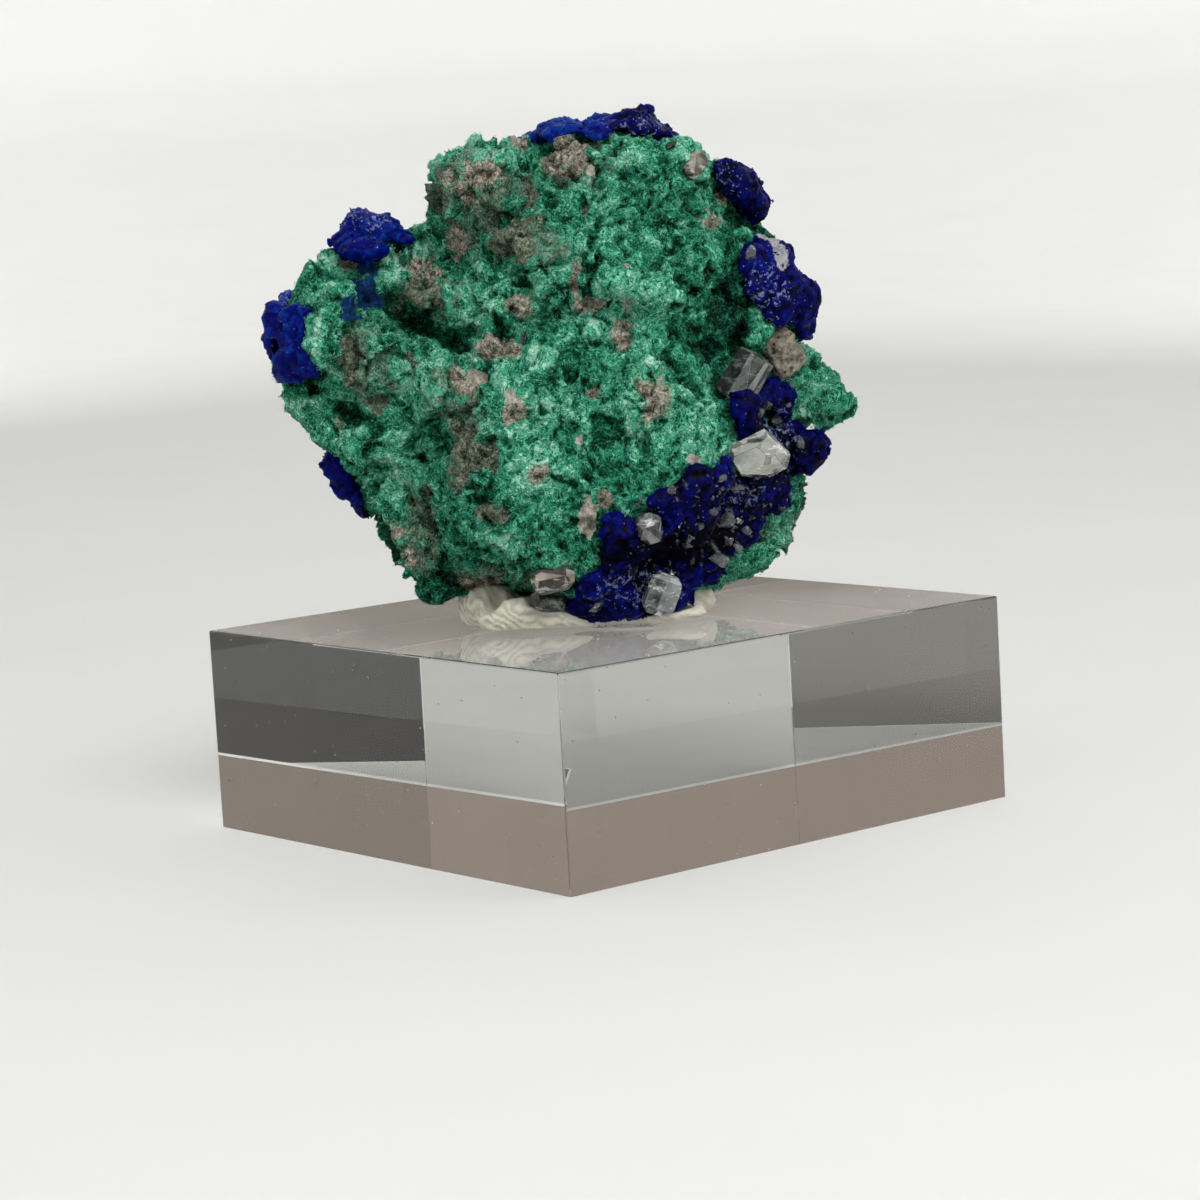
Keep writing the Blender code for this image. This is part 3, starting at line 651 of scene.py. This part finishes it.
azurite = {
    "voxel": 0.22,
    "soften": 6,
    "knobs": (1.7, 0.24),  # size and height of the rounded knobs
    "faces": (1.1, 0.3),  # size and lean of the crystal faces
    "pearls": (0.6, 0.07),
    "seed": 14,
    # how light the blue of each crust is, from 0 to 1
    "crusts": {
        "azurite_crust_lower_right": 0.14,
        "azurite_crust_upper_right": 0.2,
        "azurite_crust_shoulder": 0.08,
        "azurite_crust_crest": 0.45,
        "azurite_knob_upper_left": 0.6,
        "azurite_knob_left": 0.7,
        "azurite_crust_lower_left": 0.5,
        "azurite_crust_back": 0.3,
    },
    "extra": {"azurite_knob_left": [(-26.0, -1.0, 44.2, 1.9), (-25.4, -0.5, 46.4, 1.6)]},
    "black": [(4.5, -13.0, 24.5, 6.0, 2.6), (9.5, -9.5, 25.0, 4.5, 2.5), (15.5, -3.0, 32.0, 3.0, 4.0)],
    # places with a frost of pale specks
    "frost": [
        (-18.4, 3.0, 53.6, 3.4, 2.4), (-25.6, 0.0, 46.4, 2.0, 2.2), (5.6, -4.0, 60.6, 3.0, 1.3),
        (12.8, -5.0, 55.0, 2.2, 2.4), (15.8, -6.0, 46.0, 2.8, 3.6), (16.5, -4.0, 33.5, 3.0, 3.0),
        (13.0, -8.0, 28.6, 4.0, 2.4), (3.0, -13.0, 21.8, 6.0, 2.4),
    ],
    # the path and width of a pale crust drawn over the upper one
    "smear": (
        [(13.4, -4.0, 50.6), (14.2, -2.7, 51.2), (15.6, -2.5, 51.3), (17.2, -3.3, 50.2), (17.6, -5.0, 48.2)],
        0.95,
    ),
}


def azuriteFinish():
    f = Finish("azuriteCrust", Roughness=0.42, Specular_IOR_Level=0.045)
    light, hollow, black = f.layer("light"), f.layer("hollow"), f.layer("black")
    frost, smear = f.layer("frost"), f.layer("smear")
    cloud = f.noise(1.3, detail=4.0, roughness=0.6)
    grain = f.noise(0.22, detail=2.0)
    # painted shade in the hollows darkens the blue
    depth = (cloud * 1.1 + grain * 0.4 + light * 0.62 - 0.58 - hollow * 0.4 - black * 0.4).held()
    blue = f.ramp(
        depth, (0.0, tint(0, 0, 12)), (0.22, tint(0, 0, 56)),
        (0.6, tint(0, 10, 98)), (1.0, tint(2, 54, 132)),
    )
    # tiny bright points, thicker where the surface is frosted
    spot = f.speckle(0.42)
    which = f.noise(0.8, detail=2.0)
    speck = f.step(spot, 0.2, 0.08) * f.step(which + frost * 0.2, 0.55, 0.66)
    rime = f.step(f.noise(0.55, detail=4.0, roughness=0.65, distortion=0.6) + frost * 0.12, 0.64, 0.76)
    pale = (speck * 0.85 + rime * frost * 0.7).held()
    colour = f.mix(pale, blue, tint(132, 144, 186))
    crusted = f.step(smear + (f.noise(0.45, detail=3.0) - 0.5) * 1.1, 0.36, 0.56)
    crust = f.mix((grain * 1.4 - 0.2).held(), tint(96, 98, 108), tint(190, 188, 186))
    f.feed("Base Color", f.mix(crusted * 0.9, colour, crust))
    f.feed("Roughness", (0.28 + grain * 0.4 - speck * 0.1).held())
    f.bump(grain * 0.6 + cloud * 0.4, 0.1)
    return f.material


def makeAzurite():
    m = azurite
    finish = azuriteFinish()
    meshes = []
    for node, light in m["crusts"].items():
        mesh = fineMesh(pieceName(node), [node], m["voxel"], m["soften"], m["extra"].get(node, ()))
        points, normals, edges = readPoints(mesh), normalsOf(mesh), edgesOf(mesh)
        seen = toView(points)
        size, height = m["knobs"]
        near, _, _, mark = cells(points, size, m["seed"])
        move = (0.42 - near**2) * height * (0.6 + 0.8 * mark)
        size, height = m["pearls"]
        near, _, _, mark = cells(points, size, m["seed"] + 7)
        move += (0.4 - near**2) * height * (0.4 + 1.2 * mark)
        move += leaning(points, *m["faces"], m["seed"] + 20)
        move += layered(points, 1.1, m["seed"] + 3, 3) * 0.16
        writePoints(mesh, points + normals * move[:, None])
        level = softened(move, edges, 12)
        wobble = layered(points, 1.5, 33, 3)
        black = blots(seen, m["black"], wobble * 0.5, reach=6.0, edge=(0.5, 1.2))
        frost = blots(seen, m["frost"], wobble * 0.4, reach=7.0, edge=(0.4, 1.2))
        lights = light + 0.3 * layered(points, 5.0, 47, 2)
        if node == "azurite_crust_crest":
            # the band is bright, the knob at its right end dark
            lights = 0.95 - 0.85 * between(1.5, 4.5, seen[:, 0])
        # painted shade: how far a point lies below the ground around it
        hollow = np.clip((level - move) / 0.2, -0.5, 1)
        smear = alongPath(seen, *m["smear"]) * ("upper_right" in node)
        paint(mesh, light=lights, hollow=hollow, frost=frost, smear=smear, black=black * ("right" in node))
        meshes.append(place(mesh.name, mesh, finish, [node]).data)
    return meshes


def crystal(dice, count, half, turn, centre):
    # a closed faceted grain; half holds its three half sizes
    spots = dice.normal(size=(count, 3))
    spots /= np.linalg.norm(spots, axis=1)[:, None]
    build = bmesh.new()
    for spot in spots * half * dice.uniform(0.86, 1.0, (count, 1)):
        build.verts.new(turn @ Vector(spot) + Vector(centre))
    made = bmesh.ops.convex_hull(build, input=build.verts)
    loose = [v for v in made["geom_interior"] if isinstance(v, bmesh.types.BMVert)]
    bmesh.ops.delete(build, geom=loose, context="VERTS")
    build.verts.index_update()
    points = [tuple(v.co) for v in build.verts]
    faces = [tuple(v.index for v in face.verts) for face in build.faces]
    build.free()
    return points, faces


class Heap:
    # many small closed shapes gathered into one mesh
    def __init__(self):
        self.points, self.faces, self.tone = [], [], []

    def add(self, points, faces, tone):
        first = len(self.points)
        self.points += points
        self.faces += [tuple(first + k for k in face) for face in faces]
        self.tone += [tone] * len(points)

    def mesh(self, name):
        mesh = meshFrom(name, self.points, self.faces)
        # each grain's tone is also painted as the light and shade of its facets
        paint(mesh, tone=self.tone, facet=self.tone)
        return mesh


def facing(normal, spin):
    # a turn that brings +Z onto this direction
    return Vector(normal).to_track_quat("Z", "Y").to_matrix() @ Matrix.Rotation(spin, 3, "Z")


sparkle = {"perSquareMm": 0.8, "size": (0.09, 0.24), "tilt": 0.5, "seed": 77}


def sparkleFinish():
    f = Finish("azuriteCrystals", Roughness=0.16, Specular_IOR_Level=0.16)
    tone = f.layer("tone")
    colour = f.ramp(
        (tone + (f.noise(0.3) - 0.5) * 0.3).held(), (0.0, tint(0, 0, 36)), (0.6, tint(1, 8, 100)),
        (0.93, tint(14, 40, 148)), (1.0, tint(120, 134, 180)),
    )
    f.feed("Base Color", colour)
    f.feed("Roughness", 0.12 + f.noise(0.2) * 0.16)
    return f.material


def makeSparkle(meshes):
    m = sparkle
    dice = np.random.default_rng(m["seed"])
    heap = Heap()
    box = [(1, 0, 0), (-1, 0, 0), (0, 1, 0), (0, -1, 0), (0, 0, 1), (0, 0, -1)]
    faces = [(0, 2, 4), (2, 1, 4), (1, 3, 4), (3, 0, 4), (2, 0, 5), (1, 2, 5), (3, 1, 5), (0, 3, 5)]
    for mesh in meshes:
        points, normals = readPoints(mesh), normalsOf(mesh)
        area = sum(p.area for p in mesh.polygons) * 1e6
        count = min(len(points), int(area * m["perSquareMm"]))
        for index in dice.choice(len(points), count, replace=False):
            size = dice.uniform(*m["size"])
            half = np.array([size, size * dice.uniform(0.5, 0.9), size * dice.uniform(0.3, 0.7)])
            tilt = Vector(normals[index]) + Vector(dice.normal(0, m["tilt"], 3))
            turn = facing(tilt, dice.uniform(0, 6.28))
            centre = Vector(points[index]) + Vector(normals[index]) * size * 0.15
            corners = [tuple(turn @ Vector(np.array(v) * half) + centre) for v in box]
            heap.add(corners, faces, float(dice.beta(1.4, 2.0)))
    place("azuriteCrystals", heap.mesh("azuriteCrystals"), sparkleFinish(), smooth=False)


grains = {
    "seed": 21,
    # across, up, half width, half height of the grains that stand out, most of them on the lower crust
    "big": [
        (6.8, 29.9, 0.5, 0.55), (4.4, 27.2, 1.05, 1.1), (9.0, 26.7, 0.5, 0.5), (8.0, 25.0, 0.5, 0.5),
        (11.3, 26.5, 1.1, 0.9), (9.8, 24.0, 1.0, 1.4), (10.4, 23.2, 1.3, 0.8), (3.2, 23.3, 0.5, 0.8),
        (-0.1, 20.4, 1.1, 0.9), (13.3, 27.6, 0.4, 0.4), (13.2, 25.2, 0.6, 0.55), (14.7, 24.3, 0.6, 0.5),
        (11.6, 24.7, 0.5, 0.5), (18.6, 32.3, 0.6, 0.6), (16.6, 34.3, 0.6, 0.6), (15.6, 36.1, 0.7, 0.6),
        (14.8, 35.6, 0.5, 0.5), (17.6, 35.7, 0.4, 0.4), (12.5, 29.5, 0.9, 0.35), (11.0, 30.6, 0.7, 0.4),
        (14.8, 49.3, 0.6, 0.8), (8.6, 58.8, 0.8, 0.5), (12.2, 24.0, 0.6, 0.6), (10.2, 27.8, 0.5, 0.4),
        (12.6, 26.2, 0.5, 0.4),
    ],
    "small": 260,  # how many small ones are tried
    "across": (3.5, 17.5),
    "up": (21.0, 31.0),
    "band": (24.0, 0.33, 4.2),  # height of the crust's middle, its climb to the right, and its half height
}


def quartzFinish(name, base, transmission, roughness, milk):
    # milk says how strongly pale clouds show inside
    f = Finish(name, IOR=1.54, Transmission_Weight=transmission, Specular_IOR_Level=0.5)
    cloud = f.noise(2.2, detail=3.0, roughness=0.5, distortion=0.8)
    flaw = f.noise(1.5, detail=3.0, roughness=0.55, distortion=1.2, stretch=(1, 0.35, 2.2))
    # painted light and shade: each facet, and each grain of the heap, gets its own random brightness, as if
    # lit or shaded
    body = (cloud * 1.7 + f.layer("facet") * 1.6 - 1.25).held()
    clear = f.mix(body, tint(*[int(v * 0.34) for v in base]), tint(*base))
    # pale fracture streaks inside: partly the crystal's own flaws, partly painted glints
    veins = f.step(flaw, 0.54, 0.66) * milk
    # curved breaks: shallow bowls with sharp edges between them
    bowls = f.speckle(1.3)
    f.feed("Base Color", f.mix(veins.held(), clear, tint(244, 246, 240)))
    f.feed("Roughness", (cloud * 0.3 + veins * 0.2 + (roughness - 0.13)).held())
    f.bump(bowls + flaw * 0.35, 0.3, 0.8)
    return f.material


def makeGrains(trees):
    m = grains
    dice = np.random.default_rng(m["seed"])
    heap = Heap()
    for across, up, halfWidth, halfHeight in m["big"]:
        met = landing(trees, across, up)
        if met is None:
            continue
        point, normal = met
        deep = min(halfWidth, halfHeight) * 0.8
        half = np.array([halfWidth, halfHeight, deep])
        turn = facing(normal, dice.uniform(-0.3, 0.3))
        shape = crystal(dice, 18, half, turn, point + normal * deep * 0.3)
        heap.add(*shape, dice.uniform(0.3, 1))
    middle, climb, reach = m["band"]
    for _ in range(m["small"]):
        across = dice.uniform(*m["across"])
        up = dice.uniform(*m["up"])
        if abs(up - (middle + climb * across)) > reach:
            continue
        met = landing(trees, across, up)
        if met is None:
            continue
        point, normal = met
        size = 0.12 + 0.4 * dice.random() ** 2.2
        half = size * dice.uniform(0.6, 1.1, 3)
        turn = facing(normal + Vector(dice.normal(0, 0.4, 3)), dice.uniform(0, 6.28))
        shape = crystal(dice, 11, half, turn, point + normal * size * 0.2)
        heap.add(*shape, dice.uniform(0, 1))
    finish = quartzFinish("quartzGrains", (160, 166, 174), 0.82, 0.12, 0.3)
    place("quartzGrains", heap.mesh("quartzGrains"), finish, smooth=False)


crystals = {
    # node: number of chips, deepest chip, see-through share, base colour, roughness, milkiness
    "quartz_crystal_large": (16, 0.6, 0.5, (222, 224, 216), 0.1, 0.9),
    "quartz_crystal_tabular": (9, 0.2, 0.7, (196, 202, 200), 0.14, 0.4),
    "quartz_crystal_foot": (16, 0.35, 0.5, (206, 212, 214), 0.14, 0.7),
    "quartz_crystal_small": (12, 0.14, 0.6, (214, 218, 214), 0.12, 0.5),
    "quartz_grain_pink": (18, 0.2, 0.15, (178, 164, 150), 0.4, 0.5),
    "quartz_grain_grey": (16, 0.2, 0.45, (150, 156, 156), 0.25, 0.4),
    "quartz_grain_top": (14, 0.16, 0.1, (150, 142, 130), 0.5, 0.5),
}
chipping = {"merge": 0.02, "flat": 0.02, "bevel": 0.025, "seed": 50}  # flat is an angle in radians


def chipped(name, node, chips, deepest, seed):
    # the crystal with small flat chips struck off all round, closed again after each one
    dice = np.random.default_rng(seed)
    build = bmesh.new()
    build.from_mesh(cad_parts[node].data)
    for _ in range(chips):
        direction = Vector(dice.normal(size=3)).normalized()
        reach = max(v.co.dot(direction) for v in build.verts)
        depth = dice.uniform(0.15, 1.0) * deepest * mm
        everything = build.verts[:] + build.edges[:] + build.faces[:]
        bmesh.ops.bisect_plane(
            build, geom=everything, plane_co=direction * (reach - depth), plane_no=direction, clear_outer=True
        )
        spots = [v.co.copy() for v in build.verts]
        build.free()
        build = bmesh.new()
        for spot in spots:
            build.verts.new(spot)
        hull = bmesh.ops.convex_hull(build, input=build.verts)
        spare = set(hull["geom_interior"] + hull["geom_unused"])
        inner = [v for v in spare if isinstance(v, bmesh.types.BMVert)]
        bmesh.ops.delete(build, geom=inner, context="VERTS")
        bmesh.ops.remove_doubles(build, verts=build.verts, dist=chipping["merge"] * mm)
    bmesh.ops.dissolve_limit(build, angle_limit=chipping["flat"], verts=build.verts, edges=build.edges)
    width = chipping["bevel"] * mm
    bmesh.ops.bevel(build, geom=build.edges[:], offset=width, segments=1, affect="EDGES", clamp_overlap=True)
    mesh = bpy.data.meshes.new(name)
    build.to_mesh(mesh)
    build.free()
    # a random brightness for each face, painted as light and shade on the facets
    facet = mesh.attributes.new("facet", "FLOAT", "FACE")
    facet.data.foreach_set("value", dice.random(len(mesh.polygons)).astype(np.float32))
    return mesh


def makeCrystals():
    for order, (node, (chips, deepest, through, base, roughness, milk)) in enumerate(crystals.items()):
        name = pieceName(node)
        mesh = chipped(name, node, chips, deepest, chipping["seed"] + order)
        finish = quartzFinish(name, base, through, roughness, milk)
        place(name, mesh, finish, [node], smooth=False)


sandstone = {"voxel": 0.17, "soften": 3, "grain": 0.6, "grainHeight": 0.22, "lumps": 0.5, "seed": 63}


def sandstoneFinish():
    f = Finish("sandstone", Roughness=0.85, Specular_IOR_Level=0.35)
    grain = f.noise(0.34, detail=4.0, roughness=0.7)
    cloud = f.noise(1.8, detail=2.0)
    body = f.ramp(
        (grain * 1.3 + cloud * 0.5 - 0.42).held(), (0.15, tint(50, 46, 38)), (0.45, tint(112, 105, 93)),
        (0.75, tint(160, 151, 136)), (1.0, tint(212, 204, 190)),
    )
    dot = f.step(f.speckle(0.7), 0.36, 0.16) * f.step(f.noise(1.1, detail=1.0), 0.42, 0.52)
    f.feed("Base Color", f.mix(dot.held(), body, tint(44, 40, 36)))
    f.feed("Roughness", 0.7 + grain * 0.25)
    f.bump(grain - dot * 0.5, 0.14)
    return f.material


def makeSandstone():
    m = sandstone
    mesh = fineMesh("sandstone", ["sandstone_grain"], m["voxel"], m["soften"])
    points, normals = readPoints(mesh), normalsOf(mesh)
    near = cells(points, m["grain"], m["seed"])[0]
    move = (0.4 - near) * m["grainHeight"] + layered(points, 1.3, m["seed"] + 1, 4) * m["lumps"]
    writePoints(mesh, points + normals * move[:, None])
    place("sandstone", mesh, sandstoneFinish(), ["sandstone_grain"])


putty = {
    "voxel": 0.2,
    "soften": 4,
    "ridge": 0.55,  # from one fold to the next
    "ridgeHeight": 0.1,
    "lumps": 0.22,
    "start": 19.6,  # height from which the stone above is looked for
    "reach": 3.5,  # how far up it is looked for
    "foot": 18.4,  # the putty stays as it is below this height
    "lift": 1.1,  # the most that it is squeezed up
    "seed": 8,
}


def puttyFinish():
    f = Finish("putty", Specular_IOR_Level=0.4, Subsurface_Weight=0.12, Subsurface_Scale=0.0008)
    hollow = f.layer("hollow")
    smear = f.noise(2.2, detail=3.0)
    fine = f.noise(0.2, detail=3.0)
    # painted shade darkens the putty in the troughs of its folds
    tone = (0.45 + smear * 0.5 + fine * 0.15 - hollow * 0.55).held()
    colour = f.ramp(tone, (0.0, tint(108, 106, 90)), (0.45, tint(170, 167, 150)), (1.0, tint(210, 207, 192)))
    f.feed("Base Color", colour)
    f.feed("Roughness", 0.55 + fine * 0.2)
    f.bump(fine * 0.6 + smear * 0.4, 0.05)
    return f.material


def makePutty(above):
    m = putty
    mesh = fineMesh("putty", ["mounting_putty"], m["voxel"], m["soften"])
    points, normals, edges = readPoints(mesh), normalsOf(mesh), edgesOf(mesh)
    seen = toView(points)
    warp = layered(points, 2.6, m["seed"], 3)
    # pressed folds: fine parallel ridges that wander, strongest on the left
    across = seen[:, 2] + seen[:, 0] * 0.32 + warp * 1.3
    ridges = np.sin(across * 2 * math.pi / m["ridge"])
    strong = 0.35 + 0.65 * (1 - between(-6, 0, seen[:, 0]))
    side = 1 - np.abs(normals[:, 2]) ** 4
    lumps = layered(points, 1.7, m["seed"] + 4, 3) * m["lumps"]
    move = ridges * m["ridgeHeight"] * strong * side + lumps * side
    fresh = points + normals * move[:, None]
    # it is squeezed up towards the stone, more the higher a point lies
    lift = np.zeros(len(points))
    for index, (x, y) in enumerate(fresh[:, :2]):
        hits = [tree.ray_cast(Vector((x, y, m["start"])), Vector((0, 0, 1)), m["reach"]) for tree in above]
        gaps = [hit[3] for hit in hits if hit[3] is not None]
        lift[index] = min(gaps) if gaps else 0.0
    lift = softened(lift, edges, 40)
    fresh[:, 2] += np.clip(lift, 0, m["lift"]) * np.clip((fresh[:, 2] - m["foot"]) / 2.0, 0, 1.1)
    writePoints(mesh, fresh)
    # painted shade: how far a point lies below the folds around it
    hollow = np.clip((softened(move, edges, 8) - move) / 0.12, -0.3, 1)
    paint(mesh, hollow=hollow)
    place("putty", mesh, puttyFinish(), ["mounting_putty"])


block = {
    "edge": 0.15,  # width of the rounding along the upper edges
    "steps": 2,
    "surface": (0.985, 0.985, 0.975, 1.0),
    "inside": (0.90, 0.93, 0.90, 1.0),
    "density": 6.0,
}


def acrylicFinish():
    f = Finish("acrylic", IOR=1.49, Transmission_Weight=1.0, Base_Color=block["surface"])
    # fine rubbing marks and a few specks of dust
    dust = f.step(f.speckle(1.9), 0.075, 0.03)
    rub = f.noise(9.0, detail=5.0, roughness=0.6, stretch=(1, 7, 1))
    f.feed("Roughness", (0.012 + f.step(rub, 0.55, 0.8) * 0.02 + dust * 0.45).held())
    f.absorb(block["inside"], block["density"])
    return f.material


def makeBlock():
    low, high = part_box("acrylic_block")
    build = bmesh.new()
    bmesh.ops.create_cube(build, size=1.0)
    size, middle = high - low, (high + low) / 2
    for v in build.verts:
        v.co = Vector([v.co[k] * size[k] + middle[k] for k in range(3)])
    upper = [edge for edge in build.edges if max(v.co.z for v in edge.verts) > middle.z]
    bmesh.ops.bevel(
        build, geom=upper, offset=block["edge"] * mm, segments=block["steps"], profile=0.5, affect="EDGES"
    )
    mesh = bpy.data.meshes.new("acrylicBlock")
    build.to_mesh(mesh)
    build.free()
    piece = place("acrylicBlock", mesh, acrylicFinish(), ["acrylic_block"], smooth=False)
    piece.visible_shadow = False  # light passes through it


stone, stonePoints, stoneNormals, bare, tone, crack = makeMalachite()
makeFelt(stonePoints, stoneNormals, bare, tone, crack)
crustMeshes = makeAzurite()
makeSparkle(crustMeshes)
trees = [treeOf(mesh) for mesh in crustMeshes] + [treeOf(stone.data)]
makeGrains(trees)
makeCrystals()
makeSandstone()
makePutty(trees)
makeBlock()

studio = {
    "floorRadius": 1.6,
    "rise": 0.9,
    "clearance": 0.00004,  # how far the floor lies below the block's underside
    "floor": (214, 214, 212),
    "world": 0.6,
    "wall": 11.0,
    "target": (0, 0, 0.035),
    # across, away and up of each light, then its size and power
    "lights": {
        "keyLight": ((0.16, -0.4, 0.5), 0.3, 2.4),
        "leftLight": ((-0.6, -0.3, 0.35), 0.5, 0.3),
        "rightLight": ((0.65, -0.1, 0.4), 0.5, 0.7),
        "backLight": ((0.0, 0.7, 0.6), 0.6, 0.6),
    },
}


def circle(radius, height, sides):
    angles = [2 * math.pi * side / sides for side in range(sides)]
    return [(radius * math.cos(a), radius * math.sin(a), height) for a in angles]


def makeFloor():
    # a round floor whose rim curves up into a wall, the same from every side
    rings, sides = 40, 96
    points = [(0.0, 0.0, -studio["clearance"])]
    for ring in range(rings):
        t = ring / (rings - 1)
        bend = max(0.0, (t - 0.45) / 0.55)
        radius = studio["floorRadius"] * min(1.0, t * 1.5 + 0.001) + 0.2 * bend
        points += circle(radius, studio["rise"] * bend**2.2 - studio["clearance"], sides)
    faces = [(0, 1 + s, 1 + (s + 1) % sides) for s in range(sides)]
    for ring in range(rings - 1):
        a, b = 1 + ring * sides, 1 + (ring + 1) * sides
        faces += [(a + s, b + s, b + (s + 1) % sides, a + (s + 1) % sides) for s in range(sides)]
    mesh = bpy.data.meshes.new("floor")
    mesh.from_pydata(points, [], faces)
    mesh.shade_smooth()
    f = Finish("floorPaper", Roughness=0.9, Specular_IOR_Level=0.2)
    paler = [v + 4 for v in studio["floor"]]
    f.feed("Base Color", f.mix(f.noise(40.0, detail=2.0), tint(*studio["floor"]), tint(*paler)))
    mesh.materials.append(f.material)
    added("floor", mesh)


def addLight(name, spot, target, size, power):
    data = bpy.data.lights.new(name, "AREA")
    data.shape, data.size, data.energy = "DISK", size, power
    lamp = added(name, data)
    lamp.location = spot
    lamp.rotation_euler = (Vector(target) - Vector(spot)).to_track_quat("-Z", "Y").to_euler()


def viewSpot(across, away, up):
    return Vector(fromView([(across, away, up)])[0])


print("making the studio")
makeFloor()
for name, (spot, size, power) in studio["lights"].items():
    addLight(name, viewSpot(*spot), studio["target"], size, power)
for side in range(4):
    # these stand between the object and the wall and light the wall alone
    a = math.radians(45 + 90 * side)
    spot = viewSpot(0.8 * math.cos(a), 0.8 * math.sin(a), 0.75)
    target = viewSpot(1.8 * math.cos(a), 1.8 * math.sin(a), 0.35)
    addLight("wallLight" + str(side), spot, target, 0.9, studio["wall"])


def makeCard(name, mesh, dark, light, mirrored=False):
    # painted reflection: a card that shows only through the block, or in reflections too, putting dark, grey
    # and pale tones into the block
    f = Finish(name + "Paper", Roughness=0.9, Specular_IOR_Level=0.1)
    f.feed("Base Color", f.mix(f.noise(14.0), tint(*dark), tint(*light)))
    mesh.materials.append(f.material)
    card = added(name, mesh)
    card.visible_camera = card.visible_diffuse = card.visible_shadow = False
    card.visible_glossy = mirrored


cards = {
    "dark": [(25.4, -45.0), (25.4, 2.8), (33.0, 14.3), (150.0, 14.3), (150.0, -200.0)],
    "grey": [(-60.0, 25.4), (-3.2, 25.4), (11.3, 41.0), (11.3, 150.0), (-200.0, 150.0)],
    "pale": [
        (25.4, 3.1), (33.0, 14.6), (165.0, 14.6), (165.0, 165.0), (11.6, 165.0), (11.6, 41.0),
        (-2.8, 25.4), (25.4, 25.4),
    ],
    "height": 0.15,  # how far the lying cards are off the floor
    "ringRadius": 178.0,
    "ring": (0.2, 80.0),  # foot and top of the card that stands all round
}


def lyingCard(name, dark, light):
    points = [(x, y, cards["height"]) for x, y in cards[name]]
    makeCard(name + "Card", meshFrom(name + "Card", points, [tuple(range(len(points)))]), dark, light)


def makeRing(dark, light):
    sides = 96
    points = [point for height in cards["ring"] for point in circle(cards["ringRadius"], height, sides)]
    faces = [(k, sides + k, sides + (k + 1) % sides, (k + 1) % sides) for k in range(sides)]
    makeCard("ringCard", meshFrom("ringCard", points, faces), dark, light, mirrored=True)


# painted reflections in the block: dark, grey and pale cards under it and a ring round it
lyingCard("dark", (10, 9, 8), (24, 21, 18))
lyingCard("grey", (102, 99, 92), (112, 109, 102))
lyingCard("pale", (166, 167, 162), (176, 177, 172))
makeRing((126, 114, 105), (136, 122, 113))

world = bpy.data.worlds.new("studio")
bpy.context.scene.world = world
world.use_nodes = True
world.node_tree.nodes["Background"].inputs["Color"].default_value = (1, 1, 1, 1)
world.node_tree.nodes["Background"].inputs["Strength"].default_value = studio["world"]

# the camera's values come from the block's corners in the photograph
cameraData = bpy.data.cameras.new("camera")
cameraData.lens, cameraData.sensor_width = 100.5, 36
cameraData.clip_start, cameraData.clip_end = 0.005, 20
eye = Matrix.Translation((-0.18785, -0.22885, 0.05638))
forward = Vector((0.63004068, 0.76649861, -0.12461392))
right = Vector((0.76679522, -0.63942485, -0.05622233))
down = Vector((-0.12277558, -0.060131, -0.99061113))
camera = added("camera", cameraData)
camera.matrix_world = eye @ Matrix((right, -down, -forward)).transposed().to_4x4()
bpy.context.scene.camera = camera
bpy.context.scene.view_settings.view_transform = "Standard"
